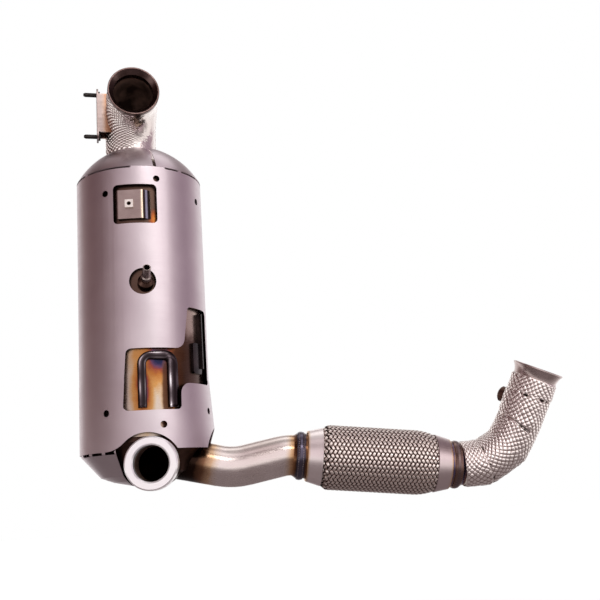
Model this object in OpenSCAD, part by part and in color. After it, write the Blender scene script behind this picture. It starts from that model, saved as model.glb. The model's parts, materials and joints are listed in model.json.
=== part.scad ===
// Diesel particulate filter: upright canister in a heat shield, inlet elbow on top,
// branch outlet and main outlet below, flexible coupling and a lagged tail elbow.
// Millimetres. The canister stands along Z, the outlet run leaves towards +X.
// The origin is the centre of the inlet throat.

/* [Canister] */
// Outer diameter of the canister shell
can_d = 132; // [126:1:140]
// Sheet thickness of the shell, the inlet cone and the outlet bowl
can_wall = 1.5; // [1:0.1:2]
// Diameter of the catalyst and filter bricks
brick_d = 118.4; // [112:0.2:120]
// Length of the filter brick
filter_len = 152; // [140:1:170]
// Length of the catalyst brick
catalyst_len = 76; // [60:1:90]
// Space between the two bricks, where the pressure tap sits
brick_gap = 22; // [20:1:30]
// Free length of shell above the catalyst brick
catalyst_headroom = 34; // [30:1:44]
// Height of the shell's lower end above the shield's lower rim
can_bottom = 14; // [12:1:18]
// Height of the inlet cone
cone_h = 34; // [30:1:38]
// Depth of the outlet bowl below the shell
bowl_depth = 47; // [45:1:50]

/* [Heat shield] */
// Air gap between the canister shell and the heat shield
shield_gap = 5; // [4:0.5:7]
// Sheet thickness of the shield pieces
shield_wall = 1; // [0.6:0.1:1.2]
// Length of shield above the canister shell
shield_overrun = 9.5; // [8:0.5:12]
// Height below which the shield widens towards the outlet
flare_start = 75; // [60:1:90]
// Half of the extra slope on the outlet side
flare_angle = 2; // [0.5:0.1:3]
// Gap along the seams between the shield halves
seam_gap = 0.6; // [0.4:0.1:1.5]
// Width of the slit between the top rim and the dome
rim_slit = 2; // [1:0.1:3]
// Radius of the dome's curved wall
dome_curve_r = 90; // [84:1:100]
// Radius of the dome's opening round the neck
dome_opening_r = 36; // [34:0.5:40]
// Direction of the seam between the two dome halves
dome_seam_angle = 25; // [15:1:35]
// Width of the open seam between the dome halves at the front
dome_seam_w = 3.6; // [1:0.2:5]
// Radius of the small round holes
spot_hole_r = 3.7; // [2:0.1:4.5]

/* [Windows] */
// Height of the top window
top_window_h = 45; // [40:1:50]
// Distance from the top window to the top rim
top_window_drop = 19.5; // [18:0.5:24]
// Radius of the hole round the pressure tube
tap_window_r = 14.5; // [13:0.5:17]
// Lower edge of the lower window
low_window_z = 40.5; // [38:0.5:44]
// Height of the lower window's wide part
low_window_h = 66; // [60:1:72]
// Lower edge of the lower window's side part
side_window_z = 69; // [64:1:74]
// Upper edge of the lower window's side part
side_window_top = 153.5; // [140:0.5:158]
// Radius of the windows' outer corners
window_corner_r = 5; // [2:0.5:7]
// Radius of the lower window's inner corners
window_inner_r = 12; // [6:0.5:14]
// Radius of the arch over the branch flange
arch_r = 34.5; // [32:0.5:38]
// Radius that blends the arch into the lower rim
arch_blend_r = 30; // [16:1:34]

/* [Inlet] */
// Bore of the inlet throat
inlet_bore = 45; // [42:0.5:47]
// Wall of the inlet and branch pipes and of the expanded pipe ends
pipe_wall = 1.5; // [1.2:0.1:2]
// Bend radius of the inlet elbow
inlet_bend_r = 52; // [50:1:58]
// Straight length from the bend to the mouth
inlet_straight = 17; // [17:0.5:24]
// Direction of the mouth, turned from the front towards the outlet side
inlet_turn = 15; // [5:1:25]
// Offset of the neck from the canister's axis
neck_offset = -8.5; // [-11:0.5:0]
// Height of the neck's straight part above the cone
neck_rise = 18; // [16:0.5:24]
// Depth of the conical seat in the mouth
seat_depth = 6; // [4:0.5:7]
// Length of the throat behind the seat
throat_len = 8; // [6:0.5:9]
// Radius of the conical seat at the mouth
seat_r = 27.5; // [26:0.1:28]
// Thickness of the lip round the mouth
lip_w = 5; // [3:0.5:6]

/* [Lagging] */
// Thickness of the fibre blanket under the foil covers
blanket_w = 3.6; // [3:0.1:4]
// Thickness of the foil covers
foil_w = 0.5; // [0.4:0.1:0.6]
// Length by which the foil covers lap each other
foil_lap = 4; // [3:0.5:6]

/* [Stud bracket] */
// Height of the bracket
stud_plate_h = 62; // [60:1:70]
// Depth of the bracket
stud_plate_w = 22; // [18:1:26]
// Distance of the bracket's plate from the neck's axis
stud_plate_offset = 38; // [36:0.5:44]
// Thickness of the bracket's sheet
bracket_w = 2; // [1.5:0.1:3]
// Diameter of the studs
stud_d = 5; // [4:0.5:6]
// Length of the studs outside the plate
stud_len = 15; // [12:0.5:20]
// Distance between the studs
stud_spacing = 53; // [48:1:54]

/* [Pressure tap] */
// Outer diameter of the pressure tube
tap_tube_d = 8.5; // [7:0.1:9]
// Bore of the pressure tube
tap_bore = 6.5; // [5:0.1:6.8]
// Length of the pressure tube from the canister shell
tap_tube_len = 33; // [28:1:40]
// Upward tilt of the tube
tap_tilt = 18; // [10:1:24]
// Direction of the tube, turned from the front
tap_angle = 14; // [10:1:16]
// Direction of the shield's hole round the tube
tap_window_angle = 11.5; // [10:0.5:16]
// Diameter of the boss that carries the tube
tap_boss_d = 17; // [15:0.5:19]
// Height of the boss above the canister shell
tap_boss_h = 11; // [9:0.5:13]

/* [Branch outlet] */
// Offset of the branch from the canister's axis
branch_offset = 19.6; // [17:0.2:22]
// Depth of the branch's axis below the shield's lower rim
branch_drop = 14.8; // [13:0.2:16]
// Distance of the flange face from the canister's axis
branch_reach = 85; // [82:1:92]
// Bore of the branch flange
branch_bore = 37; // [35:0.5:38]
// Outer diameter of the branch flange
branch_flange_d = 55; // [53:0.5:58]
// Thickness of the branch flange
branch_flange_w = 14; // [12:0.5:16]

/* [Outlet run] */
// Outer diameter of the outlet and tail pipes
pipe_d = 45; // [43:0.5:46]
// Bore of the tail flange
tail_bore = 41.4; // [40:0.2:42]
// Direction of the outlet run, turned from the side towards the back
run_heading = 5; // [0:0.5:8]
// Downward slope of the pipe where it leaves the canister
outlet_slope = 13.5; // [11:0.5:15]
// Length of the first straight part
outlet_first = 59.5; // [56:0.5:66]
// Angle of the first bend
outlet_first_turn = 23.5; // [20:0.1:26]
// Radius of the first bend
outlet_first_r = 75; // [60:1:90]
// Length of the second straight part
outlet_second = 39; // [36:0.5:50]
// Angle of the second bend
outlet_second_turn = 16.9; // [14:0.1:19]
// Radius of the second bend
outlet_second_r = 45; // [40:1:60]

/* [Flexible coupling] */
// Length of the coupling between its two welds
flex_len = 193; // [184:1:205]
// Diameter over the braid
braid_d = 72; // [70:0.5:74]
// Thickness of the braid
braid_w = 1.6; // [1.2:0.1:2]
// Number of wire bands round the braid, each way
braid_bands = 18; // [14:1:20]
// Height of the woven relief
braid_relief = 0.8; // [0.4:0.1:1]
// Outer diameter of the collars' wide ends
collar_d = 64.8; // [63:0.2:67]
// Number of bellows folds
bellows_folds = 15; // [10:1:18]
// Sheet thickness of the bellows
bellows_wall = 0.8; // [0.5:0.1:1]

/* [Tail] */
// Bend radius of the tail elbow
tail_bend_r = 63.5; // [60:0.5:74]
// Angle of the tail elbow
tail_turn = 74.4; // [68:0.2:78]
// Turn of the tail elbow round the coupling's axis, towards the front
tail_twist = 14.4; // [0:0.2:20]
// Straight length from the bend to the flange face
tail_straight = 72; // [71:0.5:84]
// Outer diameter of the tail flange
tail_flange_d = 56.5; // [55:0.5:60]
// Thickness of the tail flange's lip
tail_lip_w = 2; // [1.5:0.5:4]
// Angle of the elbow at which the lagging starts
tail_lag_angle = 1; // [0.5:0.5:8]
// Angle of the elbow at which the first foil gore ends
tail_gore_angle = 24; // [20:1:32]
// Length of straight that the middle gore covers
tail_gore_len = 44; // [42:0.5:48]
// Diameter of the sensor boss
boss_d = 18; // [16:0.5:20]
// Hole of the sensor boss
boss_bore = 12.4; // [10:0.2:13]
// Height of the sensor boss above the tail pipe
boss_h = 11; // [9:0.5:14]
// Distance of the sensor boss from the bend
boss_along = 30; // [28:0.5:31]

/* [Hidden] */
$fn = 96;
// Radial clearance between pieces that sit in each other
fit_gap = 0.15;
// Step by which a pipe's inside is wider than the throat of the ring on its end
throat_step = 0.4;
// Step at which an expanded pipe end begins, outside and inside
end_step = [0.15, 0.13];
// Overlap of a cut past the surface that it opens
cut = 1;
// Length by which a window's cutter passes the shield
cut_out = 20;
// Length by which a straight pipe enters a bend that it is one piece with, and its extra radius there
lap = 0.3;
swell = 0.12;
// Larger than the whole part
far = 800;

// Canister heights, from the shield's lower rim
can_r = can_d / 2;
can_in_r = can_r - can_wall;
brick_r = brick_d / 2;
brick_seat = 2;
filter_z = can_bottom + brick_seat;
filter_top = filter_z + filter_len;
catalyst_z = filter_top + brick_gap;
can_top = catalyst_z + catalyst_len + catalyst_headroom;
cone_top = can_top + cone_h;

// Heat shield
shield_r = can_r + shield_gap + shield_wall;
shield_in_r = shield_r - shield_wall;
shield_top = can_top + shield_overrun;
flare_step = 0.3;
skirt_r = shield_in_r - fit_gap;
dome_rim_z = shield_top + rim_slit;
dome_start_angle = 62;
dome_centre = [shield_r, dome_rim_z] - dome_curve_r * [sin(dome_start_angle), cos(dome_start_angle)];
dome_end_angle = asin((dome_opening_r - dome_centre[0]) / dome_curve_r);
dome_arc_steps = 14;
dome_skirt_h = 9;
dome_corner_r = 8;
rim_slot_lap = 2;
rim_slots = [[-80, -47], [-43, 3], [35, 48.5], [53, 76], [95, 140], [150, 195], [215, 250], [258, 274]];
band_h = 7.5;
band_web = 1;
upper_band_z = can_top - band_h - 1;
lower_band_z = can_bottom + 6;
band_hole_gap = 2;
tab_angles = [4, 34];
upper_holes = [[-20.5, 27.5], [26, 12.5], [74, 27.5]];
lower_holes = [[-23, 40], [25, 25], [77, 40]];
rear_hole_angles = [120, 180, 240];

// Windows: directions are turned from the front towards the outlet side
top_window_angles = [-12.8, 25.9];
low_window_facing = 38;
low_window_left = [-8.8, -4.5];
low_window_right = 41.5;
side_window_left = [47, 53];
side_window_right = 84.5;
low_window_top = low_window_z + low_window_h;

// Inlet
inlet_r = inlet_bore / 2;
inlet_pipe_in_r = inlet_r + throat_step;
inlet_pipe_r = inlet_pipe_in_r + pipe_wall;
neck_foil_r = inlet_pipe_r + 2 * fit_gap + blanket_w + foil_w + fit_gap;
mouth_r = neck_foil_r + 0.2;
mouth_chamfer = 0.6;
pipe_socket = 3;
flange_len = seat_depth + throat_len + pipe_socket;
neck_start = [0, cone_top - can_wall, 90];
neck_bend = ahead(neck_start, can_wall + neck_rise);
neck_end = turned(neck_bend, inlet_bend_r, -90);
mouth = ahead(neck_end, inlet_straight);
throat_frame = ahead(mouth, -seat_depth);
throat = in_inlet_plane(throat_frame);

// Stud bracket, from the middle of the elbow's side
stud_plate_mid = neck_bend[1] + 0.855 * inlet_bend_r;
stud_plate_front = 0.46 * inlet_bend_r;
stud_flange_h = 48;
stud_flange_depth = 18;
stud_head_r = stud_d / 2 + 2;
stud_neck_r = stud_d / 2 + 0.4;
stud_tip = 2;

// Pressure tap
tap_z = filter_top + brick_gap / 2 - 1.5;
tap_window_z = tap_z + (shield_r - can_r) * tan(tap_tilt);
tap_step = 5;

// Brackets on the shell, seen through the windows
clip_angle = 1.5;
clip_w = 29;
clip_h = 33;
clip_stand = 4;
clip_flank = 10;
clip_z = shield_top - top_window_drop - top_window_h / 2;
clip_nut_w = 9;
clip_nut_h = 3;
hanger_angle = 23.5;
hanger_w = 44;
hanger_legs = [9, 12];
hanger_bar = 9;
hanger_z = low_window_z + 3;
hanger_h = low_window_h - 6;
hanger_w_sheet = 3;
side_plate_angle = 74;
side_plate_h = 62;
side_saddle_h = 34;
side_saddle_w = 18;

// Branch
branch_r = branch_bore / 2;
branch_pipe_in_r = branch_r + throat_step;
branch_pipe_r = branch_pipe_in_r + pipe_wall;
branch_stub_in_r = branch_pipe_r + fit_gap;
branch_stub_r = branch_stub_in_r + can_wall;
branch_root = 20;
branch_stub_back = 4;
branch_stub_end = can_r - branch_stub_back;
branch_stub_lap = 12;
branch_socket = 4;
branch_chamfer = 1.5;
bottom_cut_r = branch_stub_r + 11;
bottom_cut_rim = branch_stub_r + 17;
bottom_cut_low = branch_stub_r + 10;
bottom_slots = [[-62, -47], [-43, -30], [-26.5, -17]];
bottom_slot_z = [-2.6, 2];

// Outlet bowl and the shield under it: radius and height
bowl_z = can_bottom - bowl_depth;
bowl_outline = [
  [can_r, can_bottom], [can_r, can_bottom - 5], [0.727 * can_r, bowl_z + 11], [0.485 * can_r, bowl_z + 4],
  [0, bowl_z]
];
bottom_shield_skirt = 6;
bottom_outline = [
  [skirt_r, bottom_shield_skirt], [skirt_r, -1.5], [0.758 * can_r, bowl_z + 8], [0.545 * can_r, bowl_z + 2.5],
  [14, bowl_z - 2.5]
];

// Outlet run: frames hold the distance from the axis, the height and the slope
pipe_r = pipe_d / 2;
pipe_in_r = tail_bore / 2 + throat_step;
expanded_r = pipe_r + 2.5;
expanded_in_r = expanded_r - pipe_wall;
expand_len = 4;
outlet_start = [22, -5.4, -outlet_slope];
outlet_bend_1 = ahead(outlet_start, outlet_first);
outlet_mid = turned(outlet_bend_1, outlet_first_r, outlet_first_turn);
outlet_bend_2 = ahead(outlet_mid, outlet_second);
flex_start = turned(outlet_bend_2, outlet_second_r, -outlet_second_turn);
flex_end = ahead(flex_start, flex_len);
outlet_notch_r = pipe_r + 17;
outlet_cut_r = pipe_r + 3;
bottom_cut_back = 14;

// Coupling: distances along its axis from either weld
bead_w = 7.4;
bead_h = 1.9;
bead_start = expand_len + 0.6;
bead_end = bead_start + bead_w;
collar_start = bead_end + 3.4;
cuff_start = collar_start + 1.4;
cuff_r = expanded_r + fit_gap + bellows_wall;
socket_end = collar_start + 5.4;
pipe_insert = socket_end + 1;
fold_start = collar_start + 13;
sleeve_end = collar_start + 17.2;
collar_wall = 1.2;
collar_lip = 0.5;
collar_r = collar_d / 2;
socket_in_r = cuff_r + fit_gap;
socket_r = socket_in_r + 2;
liner_r = expanded_in_r - fit_gap;
liner_wall = 0.8;
liner_start = bead_end - 2;
braid_start = collar_start + 12.5;
braid_end_r = collar_outside(braid_start) - collar_wall - fit_gap - braid_relief;
braid_r = braid_d / 2 - braid_relief;
braid_rise_start = sleeve_end - 2.5;
braid_rise = 11;
braid_rows = 40;
braid_inner_rows = 10;
braid_cols = 2 * braid_bands;
fold_clear = 0.6;
fold_points = 6;

// Tail
tail_rise = turned(flex_end, tail_bend_r, tail_turn);
tail_face = ahead(tail_rise, tail_straight);
tail_r = tail_bore / 2;
tail_blanket_w = blanket_w - 2.6;
tail_blanket_in_r = pipe_r + fit_gap;
tail_blanket_r = tail_blanket_in_r + tail_blanket_w;
tail_foil_in_r = tail_blanket_r + fit_gap;
tail_foil_r = tail_foil_in_r + foil_w;
tail_lap_in_r = tail_foil_r + fit_gap;
tail_lap_r = tail_lap_in_r + foil_w;
tail_flange_len = 14.5;
tail_socket = 6;
tail_lagged = tail_straight - tail_flange_len - 1;
tail_flare_len = tail_flange_len - tail_lip_w;
tail_flare_steps = 6;
tail_lap_angle = foil_lap / tail_bend_r * 180 / PI;
boss_turn = -45;

STEEL = "#B9A9B0";
DARK_STEEL = "#5A4A4A";
FOIL = "#D8CCC9";
FIBRE = "#EDE8DC";
CERAMIC = "#C9BFA8";
BRIGHT = "#FFF6F4";

// Frames along a pipe that lies in one upright plane: [distance, height, slope]
function ahead(f, l) = [f[0] + l * cos(f[2]), f[1] + l * sin(f[2]), f[2]];
function turned(f, r, a) =
  let (s = sign(a) * r, b = f[2] + a)
  [f[0] + s * (sin(b) - sin(f[2])), f[1] - s * (cos(b) - cos(f[2])), b];
function in_inlet_plane(f) =
  [neck_offset + f[0] * sin(inlet_turn), -f[0] * cos(inlet_turn), f[1]];

// Outline with round corners: each corner becomes an arc of its own radius
function unit(v) = v / norm(v);
function corner_arc(p, c, n, r, steps = 6) =
  let (
    u = unit(p - c),
    v = unit(n - c),
    half = acos(u * v) / 2,
    centre = c + unit(u + v) * r / sin(half),
    from = c + u * r / tan(half) - centre,
    start = atan2(from[1], from[0]),
    sweep = -sign(cross(u, v)) * (180 - 2 * half)
  )
  [for (k = [0:steps]) centre + r * [cos(start + sweep * k / steps), sin(start + sweep * k / steps)]];
function rounded(points, radii) =
  let (n = len(points))
  [for (i = [0:n - 1]) each corner_arc(points[(i + n - 1) % n], points[i], points[(i + 1) % n], radii[i])];

// Places a child along the frame's own direction
module along(f) {
  translate([f[0], 0, f[1]]) rotate([0, 90 - f[2], 0]) children();
}

module inlet_plane() {
  translate([neck_offset, 0, 0]) rotate([0, 0, inlet_turn - 90]) children();
}

module run_plane() {
  rotate([0, 0, run_heading]) children();
}

// The run's plane, turned round the coupling's axis behind its rear weld
module tail_plane() {
  run_plane() along(flex_end) rotate([0, 0, tail_twist]) rotate([0, flex_end[2] - 90, 0])
    translate([-flex_end[0], 0, -flex_end[1]]) children();
}

// Moves the canister's own frame so that the origin is at the inlet throat
module placed() {
  translate(-throat) children();
}

module tube(l, r, in_r) {
  difference() {
    cylinder(h = l, r = r);
    translate([0, 0, -cut]) cylinder(h = l + 2 * cut, r = in_r);
  }
}

module straight(f, l, r, in_r = 0) {
  along(f) {
    if (in_r > 0) tube(l, r, in_r);
    else cylinder(h = l, r = r);
  }
}

// A straight that is one piece with the bends before and after it
module joined(f, l, r, in_r, before = true, after = true) {
  start = before ? lap : 0;
  straight(ahead(f, -start), l + start + (after ? lap : 0), r + swell, in_r + swell);
}

module bend(f, bend_r, a, r, in_r = 0) {
  side = sign(a);
  centre = [f[0] - side * bend_r * sin(f[2]), 0, f[1] + side * bend_r * cos(f[2])];
  translate(centre) rotate([90, 0, 0]) rotate([0, 0, a > 0 ? f[2] - 90 : f[2] + 90 + a])
    rotate_extrude(angle = abs(a)) translate([bend_r, 0]) difference() {
      circle(r = r);
      if (in_r > 0) circle(r = in_r);
    }
}

// A prism that points outwards from the axis in a direction turned from the front
module facing(angle, from_r, to_r, outline) {
  rotate([0, 0, angle]) rotate([90, 0, 0]) translate([0, 0, from_r])
    linear_extrude(height = to_r - from_r) polygon(outline);
}

module radial_hole(angle, z, r, from_r, to_r) {
  rotate([0, 0, angle]) translate([0, 0, z]) rotate([90, 0, 0]) translate([0, 0, from_r])
    cylinder(h = to_r - from_r, r = r);
}

// Half of space on one side of an upright plane through the axis, less half the seam
module half_space(angle, gap) {
  rotate([0, 0, angle]) translate([-far / 2, gap / 2, -far / 2]) cube([far, far, far]);
}

// Volume inside the shield's wall: a cylinder above, a leaning cone below
module shield_volume(r, over, raised) {
  low_r = r + flare_step;
  deep = flare_start + 10;
  translate([0, 0, flare_start]) cylinder(h = shield_top - flare_start + over + raised, r = r);
  intersection() {
    translate([0, 0, flare_start]) rotate([0, -flare_angle, 0]) translate([0, 0, -deep])
      cylinder(h = deep + 4, r1 = low_r + deep * tan(flare_angle), r2 = low_r - 4 * tan(flare_angle));
    translate([-far / 2, -far / 2, -over]) cube([far, far, flare_start + over]);
  }
}

module shield_wall_ring(raised = 0) {
  difference() {
    shield_volume(shield_r, 0, raised);
    shield_volume(shield_in_r, cut, raised);
  }
}

function across(angle, facing_angle) = shield_r * sin(angle - facing_angle);

module top_window() {
  middle = (top_window_angles[0] + top_window_angles[1]) / 2;
  w = across(top_window_angles[1], middle);
  z1 = shield_top - top_window_drop;
  z0 = z1 - top_window_h;
  corners = [[-w, z0], [w, z0], [w, z1], [-w, z1]];
  facing(middle, can_r, shield_r + cut_out, rounded(corners, [for (c = corners) window_corner_r]));
}

module low_window() {
  f = low_window_facing;
  corners = [
    [across(low_window_left[0], f), low_window_z],
    [across(low_window_right, f), low_window_z],
    [across(low_window_right + 1, f), side_window_z],
    [across(side_window_right, f), side_window_z],
    [across(side_window_right, f), side_window_top],
    [across(side_window_left[1], f), side_window_top],
    [across(side_window_left[0], f), low_window_top],
    [across(low_window_left[1], f), low_window_top]
  ];
  c = window_corner_r;
  i = window_inner_r;
  facing(f, can_in_r / 2, shield_r + cut_out, rounded(corners, [c, c, i, c, c, c, i, c]));
}

function arc(centre, r, from, to, steps) =
  [for (k = [0:steps]) let (a = from + (to - from) * k / steps) centre + r * [cos(a), sin(a)]];

// Arch over the branch flange, blended into the lower rim on its left
module branch_arch() {
  centre = [branch_offset - 5.4, -branch_drop - 2];
  rise = arch_blend_r - centre[1];
  reach = sqrt((arch_r + arch_blend_r) ^ 2 - rise ^ 2);
  blend_centre = [centre[0] - reach, arch_blend_r];
  touch = atan2(rise, -reach);
  blend = arc(blend_centre, arch_blend_r, -90, touch - 180, 8);
  arch = arc(centre, arch_r, touch, 0, 24);
  outline = concat([[blend_centre[0], -2 * cut]], blend, arch, [[centre[0], -arch_r]]);
  facing(0, can_in_r / 2, shield_r + cut_out, outline);
}

module outlet_notch() {
  run_plane() translate([can_in_r / 2, 0, ahead(outlet_start, outlet_first)[1] + 2]) rotate([0, 90, 0])
    cylinder(h = can_d, r = outlet_notch_r);
}

module shield_cuts() {
  top_window();
  low_window();
  branch_arch();
  outlet_notch();
  radial_hole(tap_window_angle, tap_window_z, tap_window_r, can_r, shield_r + cut_out);
  spot_holes(spot_hole_r);
  for (a = rear_hole_angles) {
    radial_hole(a, shield_top - upper_holes[0][1], spot_hole_r, can_r, shield_r + cut_out);
    radial_hole(a, lower_holes[0][1], spot_hole_r, can_r, shield_r + cut_out);
  }
}

module spot_holes(r) {
  for (h = upper_holes) radial_hole(h[0], shield_top - h[1], r, can_r, shield_r + cut_out);
  for (h = lower_holes) radial_hole(h[0], h[1], r, can_r, shield_r + cut_out);
}

// Sector of a ring, its directions turned from the front
module sector(angles, from_r, to_r, from_z, to_z) {
  rotate([0, 0, angles[0] - 90]) rotate_extrude(angle = angles[1] - angles[0])
    translate([from_r, from_z]) square([to_r - from_r, to_z - from_z]);
}

// Takes the top rim down everywhere but at the tab, which closes the slit next to the dome's seam
module rim_cut() {
  around = [tab_angles[1], 360 + tab_angles[0]];
  sector(around, shield_in_r - cut, shield_r + cut, shield_top, dome_rim_z + cut);
}

module front_shield() {
  color(STEEL) placed() difference() {
    intersection() {
      shield_wall_ring(rim_slit - fit_gap);
      half_space(180, seam_gap);
    }
    rim_cut();
    shield_cuts();
  }
}

module rear_shield() {
  color(STEEL) placed() difference() {
    intersection() {
      shield_wall_ring();
      half_space(0, seam_gap);
    }
    shield_cuts();
  }
}

function dome_point(r, angle) = dome_centre + r * [sin(angle), cos(angle)];

// Plan of the open seam at the front: a slot with round corners where it meets the opening
function seam_outline() =
  let (
    w = dome_seam_w / 2,
    corner = arc([dome_opening_r + dome_corner_r, w + dome_corner_r], dome_corner_r, 180, 270, 6),
    side = concat([[dome_opening_r - dome_corner_r, w + dome_corner_r]], corner, [[shield_r + cut, w]])
  )
  concat(side, [for (k = [len(side) - 1:-1:0]) [side[k][0], -side[k][1]]]);

// Dome with a slotted skirt inside the shield's rim and an opening round the neck
module dome() {
  inner_r = dome_curve_r - shield_wall;
  skirt_in_r = skirt_r - shield_wall;
  inner_start = asin((skirt_in_r - dome_centre[0]) / inner_r);
  skirt_z = shield_top - dome_skirt_h;
  outer = [for (k = [0:dome_arc_steps])
    dome_point(dome_curve_r, dome_start_angle + (dome_end_angle - dome_start_angle) * k / dome_arc_steps)];
  inner = [for (k = [0:dome_arc_steps])
    dome_point(inner_r, dome_end_angle + (inner_start - dome_end_angle) * k / dome_arc_steps)];
  skirt = [[skirt_in_r, skirt_z], [skirt_r, skirt_z], [skirt_r, dome_rim_z]];
  difference() {
    rotate_extrude() polygon(concat(skirt, outer, inner));
    inlet_plane() translate([0, 0, can_top]) cylinder(h = far / 4, r = neck_foil_r + 1);
    rotate([0, 0, dome_seam_angle - 90]) translate([0, 0, can_top]) linear_extrude(height = far / 4)
      polygon(seam_outline());
    for (s = rim_slots)
      sector(s, skirt_in_r - cut, (skirt_r + shield_r) / 2, shield_top - rim_slot_lap, dome_rim_z - fit_gap);
  }
}

module top_shield_left() {
  color(STEEL) placed() intersection() {
    dome();
    half_space(dome_seam_angle + 90, seam_gap);
  }
}

module top_shield_right() {
  color(STEEL) placed() intersection() {
    dome();
    half_space(dome_seam_angle - 90, seam_gap);
  }
}

// Bowl-shaped sheet with the openings for the branch and the outlet pipe
module bottom_sheet() {
  inner = [for (i = [len(bottom_outline) - 1:-1:0])
    bottom_outline[i] + (i > 1 ? [-0.4, 1.1] : [-1, i == 1 ? 0.4 : 0]) * shield_wall];
  difference() {
    rotate_extrude() polygon(concat(bottom_outline, inner));
    translate([branch_offset, branch_stub_r, -branch_drop]) rotate([90, 0, 0])
      cylinder(h = far / 4, r = bottom_cut_r);
    run_plane() straight(ahead(outlet_start, -bottom_cut_back), outlet_first + bottom_cut_back, outlet_cut_r);
  }
}

// Front half: slots along its fold, and cut off beside the branch
module bottom_shield_front() {
  rim_x = branch_offset - bottom_cut_rim;
  top = bottom_shield_skirt + cut;
  low = bowl_z - cut_out;
  beside = [[rim_x, top], [rim_x, 0], [branch_offset - bottom_cut_low, low], [far, low], [far, top]];
  color(STEEL) placed() difference() {
    intersection() {
      bottom_sheet();
      half_space(180, seam_gap);
    }
    facing(0, -cut, shield_r + cut_out, beside);
    for (s = bottom_slots)
      sector(s, skirt_r - shield_wall - 2 * cut, skirt_r + cut, bottom_slot_z[0], bottom_slot_z[1]);
  }
}

module bottom_shield_rear() {
  color(STEEL) placed() intersection() {
    bottom_sheet();
    half_space(0, seam_gap);
  }
}

module can_shell() {
  color(STEEL) placed() difference() {
    translate([0, 0, can_bottom]) tube(can_top - can_bottom, can_r, can_in_r);
    tap_line() cylinder(h = tap_boss_h, d = tap_boss_d + 2 * fit_gap, center = true);
  }
}

module inlet_cone() {
  flat_r = dome_opening_r + abs(neck_offset) - 6;
  rim = 4;
  w = can_wall;
  color(STEEL) placed() difference() {
    rotate_extrude() polygon([
      [can_in_r, can_top], [can_r, can_top], [can_r, can_top + rim], [flat_r, cone_top], [0, cone_top],
      [0, cone_top - w], [flat_r - 0.4 * w, cone_top - w], [can_in_r, can_top + rim - 0.4 * w]
    ]);
    inlet_plane() translate([0, 0, can_top]) cylinder(h = far / 4, r = inlet_pipe_r + fit_gap);
  }
}

// Volume of the outlet bowl and of the stub drawn out of it towards the front
module bowl_volume(inset) {
  outline = [for (i = [0:len(bowl_outline) - 1])
    let (p = bowl_outline[i])
    i < 2 ? [p[0] - inset, p[1] + (i == 0 ? 0 : 0.3) * inset] : [max(p[0] - 0.6 * inset, 0), p[1] + inset]];
  rotate_extrude() polygon(concat(outline, [[0, can_bottom]]));
  branch_volume(branch_stub_r - inset, branch_stub_end + (inset > 0 ? cut : 0));
}

module branch_volume(r, reach) {
  translate([branch_offset, -branch_root, -branch_drop]) {
    sphere(r = r);
    rotate([90, 0, 0]) cylinder(h = reach - branch_root, r = r);
  }
}

module outlet_bowl() {
  color(STEEL) placed() difference() {
    bowl_volume(0);
    bowl_volume(can_wall);
    translate([0, 0, can_bottom - cut]) cylinder(h = 2 * cut, r = can_in_r);
    run_plane() straight(outlet_start, outlet_first, pipe_in_r);
  }
}

module catalyst_brick() {
  color(CERAMIC) placed() translate([0, 0, catalyst_z]) cylinder(h = catalyst_len, r = brick_r);
}

module catalyst_mat() {
  color(FIBRE) placed() translate([0, 0, catalyst_z])
    tube(catalyst_len, can_in_r - fit_gap, brick_r + fit_gap);
}

module filter_brick() {
  color(CERAMIC) placed() translate([0, 0, filter_z]) cylinder(h = filter_len, r = brick_r);
}

module filter_mat() {
  color(FIBRE) placed() translate([0, 0, filter_z]) tube(filter_len, can_in_r - fit_gap, brick_r + fit_gap);
}

// Band of Z section between the shell and the shield, open behind the shield's small holes
module spacer_band(z) {
  in_r = can_r + fit_gap;
  out_r = shield_in_r - fit_gap;
  w = band_web;
  difference() {
    translate([0, 0, z]) rotate_extrude() polygon([
      [in_r, 0], [in_r + w, 0], [in_r + w, band_h / 2 - w / 2], [out_r, band_h / 2 - w / 2], [out_r, band_h],
      [out_r - w, band_h], [out_r - w, band_h / 2 + w / 2], [in_r, band_h / 2 + w / 2]
    ]);
    spot_holes(spot_hole_r + band_hole_gap);
  }
}

module upper_spacer_band() {
  color(STEEL) placed() spacer_band(upper_band_z);
}

module lower_spacer_band() {
  color(STEEL) placed() spacer_band(lower_band_z);
}

module inlet_elbow() {
  color(STEEL) placed() inlet_plane() {
    joined(neck_start, can_wall + neck_rise, inlet_pipe_r, inlet_pipe_in_r, before = false);
    bend(neck_bend, inlet_bend_r, -90, inlet_pipe_r, inlet_pipe_in_r);
    joined(neck_end, inlet_straight - seat_depth - throat_len, inlet_pipe_r, inlet_pipe_in_r, after = false);
  }
}

// Turned mouth ring: conical seat, throat, socket for the pipe and a lip outside
module inlet_flange() {
  body_r = neck_foil_r - foil_w - fit_gap;
  socket_r = inlet_pipe_r + fit_gap;
  l = flange_len;
  color(DARK_STEEL) placed() inlet_plane() along(ahead(mouth, -l)) rotate_extrude() polygon([
    [socket_r, 0], [body_r, 0], [body_r, l - lip_w], [mouth_r, l - lip_w], [mouth_r, l - mouth_chamfer],
    [mouth_r - mouth_chamfer, l], [seat_r, l], [inlet_r, l - seat_depth], [inlet_r, pipe_socket],
    [socket_r, pipe_socket]
  ]);
}

module neck_blanket() {
  r = inlet_pipe_r + fit_gap + blanket_w;
  in_r = inlet_pipe_r + fit_gap;
  color(FIBRE) placed() inlet_plane() {
    joined(ahead(neck_start, can_wall + fit_gap), neck_rise - fit_gap, r, in_r, before = false);
    bend(neck_bend, inlet_bend_r, -90, r, in_r);
  }
}

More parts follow.
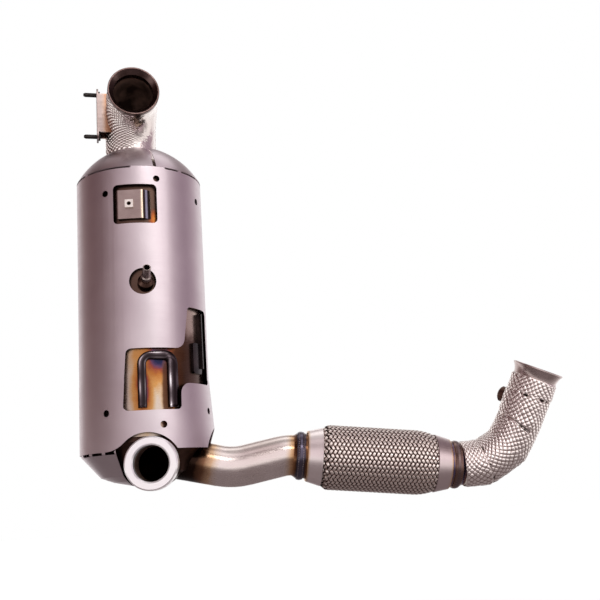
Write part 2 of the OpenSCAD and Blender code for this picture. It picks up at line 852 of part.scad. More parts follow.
module neck_foil() {
  r = neck_foil_r;
  in_r = r - foil_w;
  color(FOIL) placed() inlet_plane() {
    joined(ahead(neck_bend, 2 - neck_rise), neck_rise - 2, r, in_r, before = false);
    bend(neck_bend, inlet_bend_r, -90, r, in_r);
    joined(neck_end, inlet_straight - lip_w - fit_gap, r, in_r, after = false);
  }
}

// Channel beside the elbow: its plate carries the studs, its flanges meet the foil
module stud_bracket() {
  front = stud_plate_front;
  back = front - stud_plate_w;
  z0 = stud_plate_mid - stud_plate_h / 2;
  z1 = z0 + stud_plate_h;
  outline = rounded([[back, z0], [front, z0], [front, z1], [back, z1]], [4, 4, 4, 4]);
  color(DARK_STEEL) placed() inlet_plane() difference() {
    union() {
      translate([0, -stud_plate_offset, 0]) rotate([90, 0, 0]) linear_extrude(height = bracket_w)
        polygon(outline);
      for (x = [back, front - bracket_w])
        translate([x, -stud_plate_offset - bracket_w / 2, stud_plate_mid - stud_flange_h / 2])
          cube([bracket_w, stud_flange_depth, stud_flange_h]);
    }
    bend(neck_bend, inlet_bend_r, -90, neck_foil_r + fit_gap);
    straight(ahead(neck_bend, -neck_rise), neck_rise, neck_foil_r + fit_gap);
    at_studs() translate([0, 0, -bracket_w]) cylinder(h = 3 * bracket_w, r = stud_neck_r + fit_gap);
  }
}

// Frames of the two studs on the plate, pointing outwards
module at_studs() {
  along_plate = stud_plate_front - stud_plate_w / 2;
  for (side = [-1, 1])
    translate([along_plate, -stud_plate_offset, stud_plate_mid + side * stud_spacing / 2])
      rotate([90, 0, 0]) children();
}

module bracket_studs() {
  r = stud_d / 2;
  l = stud_len + bracket_w;
  color(DARK_STEEL) placed() inlet_plane() at_studs() rotate_extrude() polygon([
    [0, -2], [stud_head_r, -2], [stud_head_r, 0], [stud_neck_r, 0], [stud_neck_r, bracket_w], [r, bracket_w],
    [r, l - stud_tip], [0.6 * r, l], [0, l]
  ]);
}

// Frame of the pressure tap: on the shell, pointing outwards and up
module tap_line() {
  rotate([0, 0, tap_angle]) translate([0, -can_r, tap_z]) rotate([90 - tap_tilt, 0, 0]) children();
}

module pressure_boss() {
  r = tap_boss_d / 2;
  neck_r = tap_tube_d / 2 + 1.5;
  socket_r = tap_tube_d / 2 + fit_gap;
  color(DARK_STEEL) placed() tap_line() rotate_extrude() polygon([
    [socket_r, -4], [r, -4], [r, tap_boss_h - 5], [neck_r, tap_boss_h - 1.5], [neck_r, tap_boss_h],
    [socket_r, tap_boss_h]
  ]);
}

module pressure_tube() {
  r = tap_tube_d / 2;
  in_r = tap_bore / 2;
  collar_z = tap_boss_h + fit_gap;
  color(STEEL) placed() tap_line() rotate_extrude() polygon([
    [in_r, -4], [r, -4], [r, collar_z], [r + 1.2, collar_z], [r + 1.2, collar_z + tap_step],
    [r, collar_z + tap_step + 1], [r, tap_tube_len - 0.6], [r - 0.4, tap_tube_len], [in_r, tap_tube_len]
  ]);
}

// Plan of the clip's cap: a flat face, square on its left and sloped down to the shell on its right
function clip_plan(inset) =
  let (
    w = clip_w / 2 - inset,
    face_y = inset - can_r - clip_stand,
    back_y = -can_r / 2,
    foot = [clip_w / 2 + clip_flank - inset * 0.7, 6 - can_r + inset * 0.7]
  )
  [[-w, back_y], [foot[0], back_y], foot, [w, face_y], [-w, face_y]];

module clip_prism(inset, z0, z1) {
  rotate([0, 0, clip_angle]) translate([0, 0, z0]) linear_extrude(height = z1 - z0)
    polygon(rounded(clip_plan(inset), [1, 1, 1, 4 - inset, 2.5 - inset]));
}

// Cap with a flat face, its sides folded back to the shell, open below
module clip_bracket() {
  w = clip_w / 2;
  side = 1.5;
  z0 = clip_z - clip_h / 2;
  z1 = clip_z + clip_h / 2;
  corners = [[-w - cut, z0], [w + clip_flank + cut, z0], [w + clip_flank + cut, z1], [-w - cut, z1]];
  color(DARK_STEEL) placed() difference() {
    intersection() {
      clip_prism(0, z0 - cut, z1 + cut);
      facing(clip_angle, can_r / 4, shield_r, rounded(corners, [3, 3, 3, 3]));
    }
    clip_prism(side, z0 - 2 * cut, z1 - side);
    cylinder(h = far, r = can_r + fit_gap);
    radial_hole(clip_angle, clip_z, clip_nut_w / 4 + 0.4, can_r, can_r + clip_stand + cut);
  }
}

module clip_nut() {
  color(BRIGHT) placed() rotate([0, 0, clip_angle]) translate([0, -can_r - clip_stand - 0.05, clip_z])
    rotate([90, 0, 0]) difference() {
      translate([-clip_nut_w / 2, -clip_nut_w / 2, 0]) cube([clip_nut_w, clip_nut_w, clip_nut_h]);
      translate([0, 0, -cut]) cylinder(h = clip_nut_h + 2 * cut, r = clip_nut_w / 4);
    }
}

// Upside-down U cut from sheet and rolled to the shell
module hanger_bracket() {
  w = hanger_w / 2;
  z1 = hanger_z + hanger_h;
  outline = rounded([
    [-w, hanger_z], [-w + hanger_legs[0], hanger_z], [-w + hanger_legs[0], z1 - hanger_bar],
    [w - hanger_legs[1], z1 - hanger_bar], [w - hanger_legs[1], hanger_z], [w, hanger_z], [w, z1], [-w, z1]
  ], [2, 2, 5, 5, 2, 2, 7, 7]);
  color(DARK_STEEL) placed() intersection() {
    facing(hanger_angle, can_r / 2, shield_r, outline);
    translate([0, 0, can_bottom]) tube(can_top - can_bottom, can_r + hanger_w_sheet, can_r + fit_gap);
  }
}

// Saddle on the shell's side with an upright plate that stands out of the window
module side_bracket() {
  z = side_window_z + 12;
  saddle_w = side_saddle_w / 2;
  saddle_top = z + side_saddle_h;
  corners = [[-saddle_w, z], [saddle_w, z], [saddle_w, saddle_top], [-saddle_w, saddle_top]];
  color(DARK_STEEL) placed() difference() {
    union() {
      intersection() {
        facing(side_plate_angle - 5, can_r / 2, shield_r, rounded(corners, [3, 3, 3, 3]));
        translate([0, 0, can_bottom]) cylinder(h = can_top, r = can_r + hanger_w_sheet);
      }
      rotate([0, 0, side_plate_angle - 90]) translate([can_r - 2, 0, z + 6])
        cube([shield_gap + 3, bracket_w, side_plate_h]);
    }
    cylinder(h = far, r = can_r + fit_gap);
  }
}

module branch_pipe() {
  start = branch_stub_end - branch_stub_lap;
  color(STEEL) placed() translate([branch_offset, -start, -branch_drop]) rotate([90, 0, 0])
    tube(branch_reach - branch_flange_w + branch_socket - start, branch_pipe_r, branch_pipe_in_r);
}

module branch_flange() {
  r = branch_flange_d / 2;
  socket_r = branch_pipe_r + fit_gap;
  l = branch_flange_w;
  c = branch_chamfer;
  color(BRIGHT) placed() translate([branch_offset, l - branch_reach, -branch_drop]) rotate([90, 0, 0])
    rotate_extrude() polygon([
      [socket_r, 0], [r - c, 0], [r, c], [r, l - c], [r - c, l], [branch_r + c, l], [branch_r, l - c],
      [branch_r, branch_socket], [socket_r, branch_socket]
    ]);
}

// Expanded pipe end with its weld bead, along the coupling's axis from a weld
module expanded_end() {
  r = pipe_r + end_step[0];
  in_r = pipe_in_r - end_step[1];
  top_r = expanded_r + bead_h;
  edge = 2.5;
  rotate_extrude() polygon([
    [in_r, -lap], [r, -lap], [r, lap], [expanded_r, expand_len], [expanded_r, bead_start],
    [expanded_r + bead_h / 2, bead_start], [top_r, bead_start + edge], [top_r, bead_end - edge],
    [expanded_r + bead_h / 2, bead_end], [expanded_r, bead_end], [expanded_r, pipe_insert],
    [expanded_in_r, pipe_insert], [expanded_in_r, expand_len + lap], [in_r, 2 * lap]
  ]);
}

module outlet_pipe() {
  color(STEEL) placed() run_plane() {
    difference() {
      joined(outlet_start, outlet_first, pipe_r, pipe_in_r, before = false);
      rotate([0, 0, -run_heading]) bowl_volume(-0.1);
      translate([0, 0, can_bottom - cut]) cylinder(h = can_d, r = can_r + fit_gap);
    }
    bend(outlet_bend_1, outlet_first_r, outlet_first_turn, pipe_r, pipe_in_r);
    joined(outlet_mid, outlet_second, pipe_r, pipe_in_r);
    bend(outlet_bend_2, outlet_second_r, -outlet_second_turn, pipe_r, pipe_in_r);
    along(flex_start) expanded_end();
  }
}

// Outside of a collar: a cone that widens from the bellows cuff to the braid
function collar_outside(u) =
  socket_r + (collar_r - socket_r) * (u - collar_start) / (sleeve_end - collar_start);

// Collar of the coupling: a socket over the bellows cuff, and a cone over the braid's end
module collar() {
  cone_start = socket_end + collar_wall;
  rotate_extrude() polygon([
    [socket_in_r, collar_start], [socket_r - collar_lip, collar_start], [socket_r, collar_start + collar_lip],
    [collar_r, sleeve_end - collar_lip], [collar_r - collar_lip, sleeve_end],
    [collar_r - collar_wall, sleeve_end], [collar_outside(cone_start) - collar_wall, cone_start],
    [socket_in_r, socket_end]
  ]);
}

// Turns a piece of the coupling round so that it starts at the rear weld
module from_rear() {
  along(flex_end) rotate([180, 0, 0]) children();
}

module flex_front_collar() {
  color(STEEL) placed() run_plane() along(flex_start) collar();
}

module flex_rear_collar() {
  color(STEEL) placed() run_plane() from_rear() collar();
}

// Folded tube: plain cuffs at both ends, and between them folds that fill the inside of the braid
module flex_bellows() {
  l = flex_len - 2 * fold_start;
  n = bellows_folds * fold_points;
  wave = [for (k = [0:n])
    let (u = fold_start + l * k / n, depth = braid_radius(u) - braid_w - fold_clear - cuff_r)
    [cuff_r + depth * (1 - cos(360 * k / fold_points)) / 2, u]];
  outer = concat([[cuff_r, cuff_start]], wave, [[cuff_r, flex_len - cuff_start]]);
  inner = [for (k = [len(outer) - 1:-1:0]) outer[k] - [bellows_wall, 0]];
  color(STEEL) placed() run_plane() along(flex_start) rotate_extrude() polygon(concat(outer, inner));
}

module flex_liner() {
  color(STEEL) placed() run_plane() along(ahead(flex_start, liner_start))
    tube(flex_len - 2 * liner_start, liner_r, liner_r - liner_wall);
}

// Outer radius of the braid's cloth: narrow in the collars, wide between them
function smooth(t) = let (c = min(max(t, 0), 1)) c * c * (3 - 2 * c);
function braid_radius(u) =
  let (inside = min(u, flex_len - u) - braid_rise_start)
  braid_end_r + (braid_r - braid_end_r) * smooth(inside / braid_rise);
function ring_point(r, j, u) = [r * cos(360 * j / braid_cols), r * sin(360 * j / braid_cols), u];

// Sleeve of woven wire bands: every second lattice point stands up, and ridges join them
module flex_braid() {
  l = flex_len - 2 * braid_start;
  outer = [for (i = [0:braid_rows], j = [0:braid_cols - 1])
    let (u = braid_start + l * i / braid_rows)
    ring_point(braid_radius(u) + ((i + j) % 2 == 0 ? braid_relief : 0), j, u)];
  inner = [for (i = [0:braid_inner_rows], j = [0:braid_cols - 1])
    let (u = braid_start + l * i / braid_inner_rows)
    ring_point(braid_radius(u) - braid_w, j, u)];
  base = len(outer);
  n = braid_cols;
  function at(i, j) = i * n + j % n;
  function under(i, j) = base + i * n + j % n;
  weave = [for (i = [0:braid_rows - 1], j = [0:n - 1])
    each (i + j) % 2 == 0
      ? [[at(i, j), at(i + 1, j), at(i + 1, j + 1)], [at(i, j), at(i + 1, j + 1), at(i, j + 1)]]
      : [[at(i, j), at(i + 1, j), at(i, j + 1)], [at(i + 1, j), at(i + 1, j + 1), at(i, j + 1)]]];
  lining = [for (i = [0:braid_inner_rows - 1], j = [0:n - 1])
    each [
      [under(i, j), under(i, j + 1), under(i + 1, j)],
      [under(i + 1, j), under(i, j + 1), under(i + 1, j + 1)]
    ]];
  ends = [for (j = [0:n - 1])
    each [
      [at(0, j), at(0, j + 1), under(0, j)], [under(0, j), at(0, j + 1), under(0, j + 1)],
      [at(braid_rows, j), under(braid_inner_rows, j), at(braid_rows, j + 1)],
      [under(braid_inner_rows, j), under(braid_inner_rows, j + 1), at(braid_rows, j + 1)]
    ]];
  color(STEEL) placed() run_plane() along(flex_start)
    polyhedron(concat(outer, inner), concat(weave, lining, ends));
}

// Hole for the sensor boss through everything round the tail pipe
module boss_line() {
  along(ahead(tail_rise, boss_along)) rotate([0, 0, boss_turn]) rotate([0, -90, 0]) children();
}

module tail_pipe() {
  color(STEEL) placed() tail_plane() {
    from_rear() expanded_end();
    difference() {
      union() {
        bend(flex_end, tail_bend_r, tail_turn, pipe_r, pipe_in_r);
        joined(tail_rise, tail_straight - tail_flange_len + tail_socket, pipe_r, pipe_in_r, after = false);
      }
      boss_line() cylinder(h = far / 8, r = boss_bore / 2 + 0.4);
    }
  }
}

module boss_clearance() {
  boss_line() cylinder(h = far / 8, r = boss_d / 2 + fit_gap);
}

// Part of the elbow from an angle on, in a tube of its own radii
module tail_bend(from, to, r, in_r) {
  bend(turned(flex_end, tail_bend_r, from), tail_bend_r, to - from, r, in_r);
}

module tail_blanket() {
  color(FIBRE) placed() tail_plane() difference() {
    union() {
      tail_bend(tail_lag_angle, tail_turn, tail_blanket_r, tail_blanket_in_r);
      joined(tail_rise, tail_lagged, tail_blanket_r, tail_blanket_in_r, after = false);
    }
    boss_clearance();
  }
}

module tail_foil_lower() {
  color(FOIL) placed() tail_plane()
    tail_bend(tail_lag_angle, tail_gore_angle, tail_lap_r, tail_lap_in_r);
}

// Middle gore: the other two lap over it
module tail_foil_middle() {
  color(FOIL) placed() tail_plane() difference() {
    union() {
      tail_bend(tail_gore_angle - tail_lap_angle, tail_turn, tail_foil_r, tail_foil_in_r);
      joined(tail_rise, tail_gore_len, tail_foil_r, tail_foil_in_r, after = false);
    }
    boss_clearance();
  }
}

module tail_foil_upper() {
  start = tail_gore_len - foil_lap;
  color(FOIL) placed() tail_plane() difference() {
    straight(ahead(tail_rise, start), tail_lagged - start, tail_lap_r, tail_lap_in_r);
    boss_clearance();
  }
}

// Flared flange: socket over the pipe, trumpet and thin lip
module tail_flange() {
  socket_r = pipe_r + fit_gap;
  neck_r = socket_r + 1.6;
  neck_len = 2;
  edge = 0.5;
  r = tail_flange_d / 2;
  l = tail_flange_len;
  trumpet = [for (k = [0:tail_flare_steps])
    let (t = k / tail_flare_steps)
    [neck_r + (r - edge - neck_r) * t * t, neck_len + (tail_flare_len - neck_len) * t]];
  lip = [[r, tail_flare_len + edge], [r, l - edge], [r - edge, l]];
  inside = [[tail_r, l], [tail_r, tail_socket], [socket_r, tail_socket], [socket_r, 0], [neck_r, 0]];
  color(BRIGHT) placed() tail_plane() along(ahead(tail_face, -l)) rotate_extrude()
    polygon(concat(trumpet, lip, inside));
}

module tail_sensor_boss() {
  top = pipe_r + boss_h;
  color(DARK_STEEL) placed() tail_plane() difference() {
    boss_line() rotate_extrude() polygon([
      [boss_bore / 2, 0], [boss_d / 2, 0], [boss_d / 2, top - 1.5], [boss_d / 2 - 1.5, top],
      [boss_bore / 2, top]
    ]);
    straight(tail_rise, tail_straight, pipe_r + swell + 0.05);
    bend(flex_end, tail_bend_r, tail_turn, pipe_r + 0.05);
  }
}

can_shell();
inlet_cone();
outlet_bowl();
catalyst_brick();
catalyst_mat();
filter_brick();
filter_mat();
upper_spacer_band();
lower_spacer_band();
front_shield();
rear_shield();
top_shield_left();
top_shield_right();
bottom_shield_front();
bottom_shield_rear();
inlet_elbow();
inlet_flange();
neck_blanket();
neck_foil();
stud_bracket();
bracket_studs();
clip_bracket();
clip_nut();
pressure_boss();
pressure_tube();
hanger_bracket();
side_bracket();
branch_pipe();
branch_flange();
outlet_pipe();
flex_front_collar();
flex_bellows();
flex_liner();
flex_braid();
flex_rear_collar();
tail_pipe();
tail_blanket();
tail_foil_lower();
tail_foil_middle();
tail_foil_upper();
tail_flange();
tail_sensor_boss();
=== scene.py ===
"""Looks of a diesel particulate filter: a shielded canister, lagged elbows and a braided coupling."""

from __future__ import annotations

import json
import logging
import math
from dataclasses import dataclass
from enum import Enum
from typing import Any, Sequence

import bpy
import numpy as np
from mathutils import Matrix, Vector

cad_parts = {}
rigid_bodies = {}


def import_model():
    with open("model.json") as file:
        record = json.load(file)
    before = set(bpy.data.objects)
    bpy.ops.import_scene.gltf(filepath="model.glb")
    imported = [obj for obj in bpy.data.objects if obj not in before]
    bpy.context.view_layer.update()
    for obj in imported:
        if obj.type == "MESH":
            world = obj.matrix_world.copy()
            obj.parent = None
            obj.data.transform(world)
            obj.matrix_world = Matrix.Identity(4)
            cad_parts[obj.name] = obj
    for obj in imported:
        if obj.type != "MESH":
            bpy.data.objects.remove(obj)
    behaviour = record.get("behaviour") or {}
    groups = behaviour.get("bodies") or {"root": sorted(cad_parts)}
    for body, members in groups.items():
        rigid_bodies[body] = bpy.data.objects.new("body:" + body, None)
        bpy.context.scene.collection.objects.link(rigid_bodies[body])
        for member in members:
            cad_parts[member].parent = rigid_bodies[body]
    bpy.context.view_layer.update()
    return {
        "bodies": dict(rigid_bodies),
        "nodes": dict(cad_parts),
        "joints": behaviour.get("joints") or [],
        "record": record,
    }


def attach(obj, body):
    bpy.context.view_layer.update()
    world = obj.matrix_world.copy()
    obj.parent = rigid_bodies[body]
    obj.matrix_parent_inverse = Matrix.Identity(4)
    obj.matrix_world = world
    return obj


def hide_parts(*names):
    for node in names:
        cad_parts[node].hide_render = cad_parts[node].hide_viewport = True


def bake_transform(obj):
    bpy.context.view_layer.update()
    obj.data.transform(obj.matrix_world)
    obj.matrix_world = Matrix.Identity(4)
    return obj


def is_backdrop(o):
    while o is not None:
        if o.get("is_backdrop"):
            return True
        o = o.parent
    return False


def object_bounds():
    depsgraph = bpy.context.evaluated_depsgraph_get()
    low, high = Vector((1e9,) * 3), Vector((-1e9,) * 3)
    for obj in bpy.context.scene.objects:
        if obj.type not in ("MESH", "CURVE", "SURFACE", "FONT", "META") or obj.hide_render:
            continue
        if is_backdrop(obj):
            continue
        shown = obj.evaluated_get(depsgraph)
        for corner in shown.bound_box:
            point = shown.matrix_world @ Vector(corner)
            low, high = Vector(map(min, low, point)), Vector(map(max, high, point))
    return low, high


LOG = logging.getLogger("particulate_filter")
MM = 0.001
FULL_TURN = 2 * math.pi
MATH = "ShaderNodeMath"
VECTOR = "ShaderNodeVectorMath"
NOISE = "ShaderNodeTexNoise"
RANGE = "ShaderNodeMapRange"
RAMP = "ShaderNodeValToRGB"
BUMP = "ShaderNodeBump"
MIX = "ShaderNodeMix"
XYZ = "ShaderNodeCombineXYZ"
SURFACE = "ShaderNodeBsdfPrincipled"
FINISH = "ShaderNodeOutputMaterial"
# Nearly all of a noise lies between these values
NOISE_SPAN = {"From Min": 0.3, "From Max": 0.7}


class Body(Enum):
    """The rigid groups of the part."""

    CANISTER = "canister"
    TAIL = "tail"


class Slot(Enum):
    """The record's material slots, by the kind of added piece."""

    PIPE = "pipe_steel"
    BRACKET = "bracket_steel"
    FOIL = "foil"
    FIBRE = "fibre"
    BRAID = "braid_wire"


class Hand(Enum):
    """The two ways in which the braid's bands wind."""

    RIGHT = 1.0
    LEFT = -1.0


def linear(code: str, alpha: float = 1.0) -> tuple[float, float, float, float]:
    """Turns an sRGB hex colour into linear values.

    Args:
        code: Colour such as "#B9A9B0".
        alpha: Fourth value.

    Returns:
        Red, green, blue and alpha.
    """
    values = [int(code[i : i + 2], 16) / 255 for i in (1, 3, 5)]
    red, green, blue = [v / 12.92 if v <= 0.04045 else ((v + 0.055) / 1.055) ** 2.4 for v in values]
    return red, green, blue, alpha


def add(
    tree: bpy.types.NodeTree, kind: str, inputs: Any = (), stops: Sequence = (), **settings: Any
) -> bpy.types.Node:
    """Adds a node with its settings and links.

    Args:
        tree: Node tree that gets the node.
        kind: Blender's name of the node type.
        inputs: Values, sockets or nodes, by the input's name or number or in order. A node gives its first
            output that is in use.
        stops: Position and colour of each stop, for a colour ramp.
        **settings: Values of the node's own properties.

    Returns:
        The new node.
    """
    node = tree.nodes.new(kind)
    for key, value in settings.items():
        setattr(node, key, value)
    for key, value in inputs.items() if isinstance(inputs, dict) else enumerate(inputs):
        if isinstance(value, bpy.types.Node):
            value = next(socket for socket in value.outputs if socket.enabled)
        if isinstance(value, bpy.types.NodeSocket):
            tree.links.new(value, node.inputs[key])
        else:
            node.inputs[key].default_value = value
    if stops:
        elements = node.color_ramp.elements
        for _ in range(len(stops) - len(elements)):
            elements.new(1.0)
        for element, (position, colour) in zip(elements, stops):
            element.position = position
            element.color = colour
    return node


@dataclass(frozen=True)
class PipePlane:
    """An upright plane that a pipe bends in, in the canister's own frame.

    Distances run along the heading, heights run up the canister, both in millimetres.
    """

    heading: float
    offset: float = 0.0

    def axes(self) -> tuple[np.ndarray, np.ndarray]:
        """Returns the plane's forward direction and its side direction."""
        a = math.radians(self.heading)
        return np.array([math.cos(a), math.sin(a), 0.0]), np.array([-math.sin(a), math.cos(a), 0.0])

    def place(self, distance: Any, side: Any, height: Any) -> np.ndarray:
        """Turns places in the plane into the part's frame.

        Args:
            distance: Distances along the plane.
            side: Distances to the plane's side.
            height: Heights above the shield's lower rim.

        Returns:
            One row of metres for each place.
        """
        forward, left = self.axes()
        up = np.array([0.0, 0.0, 1.0])
        columns = [np.asarray(v, float)[..., None] for v in (distance, side, height)]
        base = np.array([self.offset, 0.0, 0.0]) - CANISTER.throat()
        return (base + columns[0] * forward + columns[1] * left + columns[2] * up) * MM


@dataclass(frozen=True)
class CanisterSizes:
    """Driving sizes of the canister, in millimetres, as the solids have them."""

    can_r: float = 66.0
    inlet_turn: float = 15.0
    neck_offset: float = -8.5
    neck_bend_r: float = 52.0
    neck_bend_z: float = 352.0
    inlet_straight: float = 17.0
    seat_depth: float = 6.0
    run_heading: float = 5.0

    def throat(self) -> np.ndarray:
        """Finds the part's origin in the canister's own frame.

        Returns:
            The middle of the inlet throat, in millimetres.
        """
        reach = self.neck_bend_r + self.inlet_straight - self.seat_depth
        a = math.radians(self.inlet_turn)
        height = self.neck_bend_z + self.neck_bend_r
        return np.array([self.neck_offset + reach * math.sin(a), -reach * math.cos(a), height])

    def place(self, x: Any, y: Any, z: Any) -> np.ndarray:
        """Turns places in the canister's own frame into metres in the part's frame."""
        columns = [np.asarray(v, float) for v in (x, y, z)]
        return (np.stack(np.broadcast_arrays(*columns), axis=-1) - self.throat()) * MM

    def round_place(self, angle: Any, r: Any, z: Any) -> np.ndarray:
        """Turns a direction from the front in degrees, a radius and a height into the part's frame."""
        a = np.radians(angle)
        return self.place(np.asarray(r) * np.sin(a), -np.asarray(r) * np.cos(a), z)


CANISTER = CanisterSizes()
INLET_PLANE = PipePlane(heading=CANISTER.inlet_turn - 90.0, offset=CANISTER.neck_offset)
RUN_PLANE = PipePlane(heading=CANISTER.run_heading)


@dataclass(frozen=True)
class PipePath:
    """Centre line of a pipe: a straight, one bend and another straight, all in one plane.

    A turn above zero bends upwards. The plane may be twisted round the line's start.
    Lengths are in millimetres, angles in degrees.
    """

    plane: PipePlane
    start: tuple[float, float]
    slope: float
    before: float
    bend_r: float
    turn: float
    after: float
    twist: float = 0.0

    def bend_end(self) -> float:
        """Returns the distance along the line at which the bend ends."""
        return self.before + self.bend_r * math.radians(abs(self.turn))

    def length(self) -> float:
        """Returns the length of the centre line."""
        return self.bend_end() + self.after

    def frame(self, s: np.ndarray) -> tuple[np.ndarray, np.ndarray, np.ndarray]:
        """Finds places along the centre line.

        Args:
            s: Distances along the line.

        Returns:
            Distance, height and slope in radians at each place, before any twist.
        """
        side = math.copysign(1.0, self.turn)
        first = math.radians(self.slope)
        ahead, rise = math.cos(first), math.sin(first)
        slope = first + side * np.clip((s - self.before) / self.bend_r, 0.0, math.radians(abs(self.turn)))
        lead = np.minimum(s, self.before)
        rest = np.maximum(s - self.bend_end(), 0.0)
        swing = side * self.bend_r
        x = self.start[0] + lead * ahead + swing * (np.sin(slope) - rise) + rest * np.cos(slope)
        z = self.start[1] + lead * rise - swing * (np.cos(slope) - ahead) + rest * np.sin(slope)
        return x, z, slope

    def ring(self, s: np.ndarray, r: np.ndarray, theta: np.ndarray) -> np.ndarray:
        """Places points round the line: theta is zero above it and grows towards the plane's side.

        Args:
            s: Distances along the line.
            r: Distances from the line.
            theta: Angles round the line, in radians.

        Returns:
            One row of metres for each point.
        """
        x, z, slope = self.frame(s)
        out = r * np.cos(theta)
        side = r * np.sin(theta)
        ahead = x - out * np.sin(slope) - self.start[0]
        rise = z + out * np.cos(slope) - self.start[1]
        a, t = math.radians(self.slope), math.radians(self.twist)
        along = ahead * math.cos(a) + rise * math.sin(a)
        lift = rise * math.cos(a) - ahead * math.sin(a)
        high = lift * math.cos(t) + side * math.sin(t)
        wide = side * math.cos(t) - lift * math.sin(t)
        distance = self.start[0] + along * math.cos(a) - high * math.sin(a)
        return self.plane.place(distance, wide, self.start[1] + along * math.sin(a) + high * math.cos(a))

    def point(self, s: float) -> Vector:
        """Returns one place on the centre line, in the part's frame."""
        return Vector(self.ring(np.array([s]), np.zeros(1), np.zeros(1))[0].tolist())

    def axis(self, s: float) -> tuple[float, float, float]:
        """Returns the direction of the centre line at a place."""
        return tuple((self.point(s + 0.1) - self.point(s - 0.1)).normalized())


@dataclass(frozen=True)
class FoldedPath(PipePath):
    """A path whose cover is made of gores: flat between folds, with a corner at each fold.

    Each fold is a distance along the line and how far the cover stands off there. The share says how much
    of the way from round to flat the cover goes.
    """

    folds: tuple[tuple[float, float], ...] = ()
    share: float = 0.7

    def ring(self, s: np.ndarray, r: np.ndarray, theta: np.ndarray) -> np.ndarray:
        """Places points round the line on the folded cover.

        Args:
            s: Distances along the line.
            r: Distances from the line.
            theta: Angles round the line, in radians, as on the plain path.

        Returns:
            One row of metres for each point.
        """
        places, swells = np.array(self.folds).T
        k = np.clip(np.searchsorted(places, s, side="right") - 1, 0, len(places) - 2)
        t = (s - places[k]) / (places[k + 1] - places[k])
        low = super().ring(places[k], r + swells[k], theta)
        high = super().ring(places[k + 1], r + swells[k + 1], theta)
        plain = super().ring(s, r, theta)
        return plain + (low + (high - low) * t[..., None] - plain) * self.share


NECK_PATH = PipePath(INLET_PLANE, (0.0, 336.0), 90.0, 16.0, CANISTER.neck_bend_r, -90.0, 11.85)
OUTLET_PATH = PipePath(RUN_PLANE, (22.0, -5.4), -13.5, 59.5, 75.0, 23.5, 39.0)
TAIL_PATH = FoldedPath(
    RUN_PLANE, (353.618, -36.279), -6.9, 0.0, 63.5, 74.4, 56.5, 14.4,
    folds=((-4.0, 0.4), (26.6, 1.5), (59.0, 1.5), (100.0, 0.5), (140.0, 0.0)),
)


def outward(points: np.ndarray, faces: list[list[int]]) -> list[list[int]]:
    """Turns the faces of a closed mesh so that they point outwards.

    Args:
        points: Rows of metres.
        faces: Point numbers of each face, all wound the same way.

    Returns:
        The same faces, reversed where their volume is below zero.
    """
    centred = points - points.mean(axis=0)
    corners = np.array([f[:3] for f in faces] + [[f[0], f[2], f[3]] for f in faces if len(f) == 4])
    a, b, c = (centred[corners[:, k]] for k in range(3))
    volume = np.einsum("ij,ij->", a, np.cross(b, c))
    return [f[::-1] for f in faces] if volume < 0 else faces


def make_piece(
    name: str, points: np.ndarray, faces: list[list[int]], attributes: dict | None = None
) -> bpy.types.Object:
    """Makes a smooth mesh object at the origin.

    Args:
        name: Name of the piece.
        points: Rows of metres.
        faces: Point numbers of each face.
        attributes: Values for each point, by name.

    Returns:
        The new object.
    """
    mesh = bpy.data.meshes.new(name)
    mesh.from_pydata(points.tolist(), [], outward(points, faces) if faces else faces)
    for key, values in (attributes or {}).items():
        layer = mesh.attributes.new(key, "FLOAT", "POINT")
        layer.data.foreach_set("value", np.asarray(values, np.float32).ravel())
    mesh.shade_smooth()
    mesh.validate()
    piece = bpy.data.objects.new(name, mesh)
    bpy.context.scene.collection.objects.link(piece)
    return piece


def grid_faces(rows: int, columns: int, close_rows: bool) -> list[list[int]]:
    """Numbers the four-sided faces of a grid whose columns close on themselves.

    Args:
        rows: Number of rows.
        columns: Number of points in a row.
        close_rows: True if the last row joins the first.

    Returns:
        Four point numbers for each face.
    """
    bands = rows if close_rows else rows - 1
    row, column = np.meshgrid(np.arange(bands), np.arange(columns), indexing="ij")
    below, beside = (row + 1) % rows, (column + 1) % columns
    corners = ((row, column), (below, column), (below, beside), (row, beside))
    return np.stack([(i * columns + j).ravel() for i, j in corners], axis=1).tolist()


def new_tree(
    name: str, numbers: Sequence[str], counts: Sequence[str] = ()
) -> tuple[bpy.types.NodeTree, Any]:
    """Starts a geometry tree with named inputs.

    Args:
        name: Name of the tree.
        numbers: Names of the inputs that are sizes or shares.
        counts: Names of the inputs that are whole numbers.

    Returns:
        The tree and the sockets that give its inputs.
    """
    tree = bpy.data.node_groups.new(name, "GeometryNodeTree")
    kinds = {"Geometry": "NodeSocketGeometry", "Material": "NodeSocketMaterial"}
    kinds |= dict.fromkeys(numbers, "NodeSocketFloat") | dict.fromkeys(counts, "NodeSocketInt")
    for key, kind in kinds.items():
        tree.interface.new_socket(key, in_out="INPUT", socket_type=kind)
    tree.interface.new_socket("Geometry", in_out="OUTPUT", socket_type="NodeSocketGeometry")
    return tree, add(tree, "NodeGroupInput").outputs


def close_tree(tree: bpy.types.NodeTree, given: Any, shape: bpy.types.Node) -> bpy.types.NodeTree:
    """Ends a geometry tree: real copies, then the material.

    Args:
        tree: The tree.
        given: The sockets that give its inputs.
        shape: The last node of the shape.

    Returns:
        The same tree.
    """
    whole = add(tree, "GeometryNodeRealizeInstances", {"Geometry": shape})
    done = add(tree, "GeometryNodeSetMaterial", {"Geometry": whole, "Material": given["Material"]})
    add(tree, "NodeGroupOutput", {"Geometry": done})
    return tree


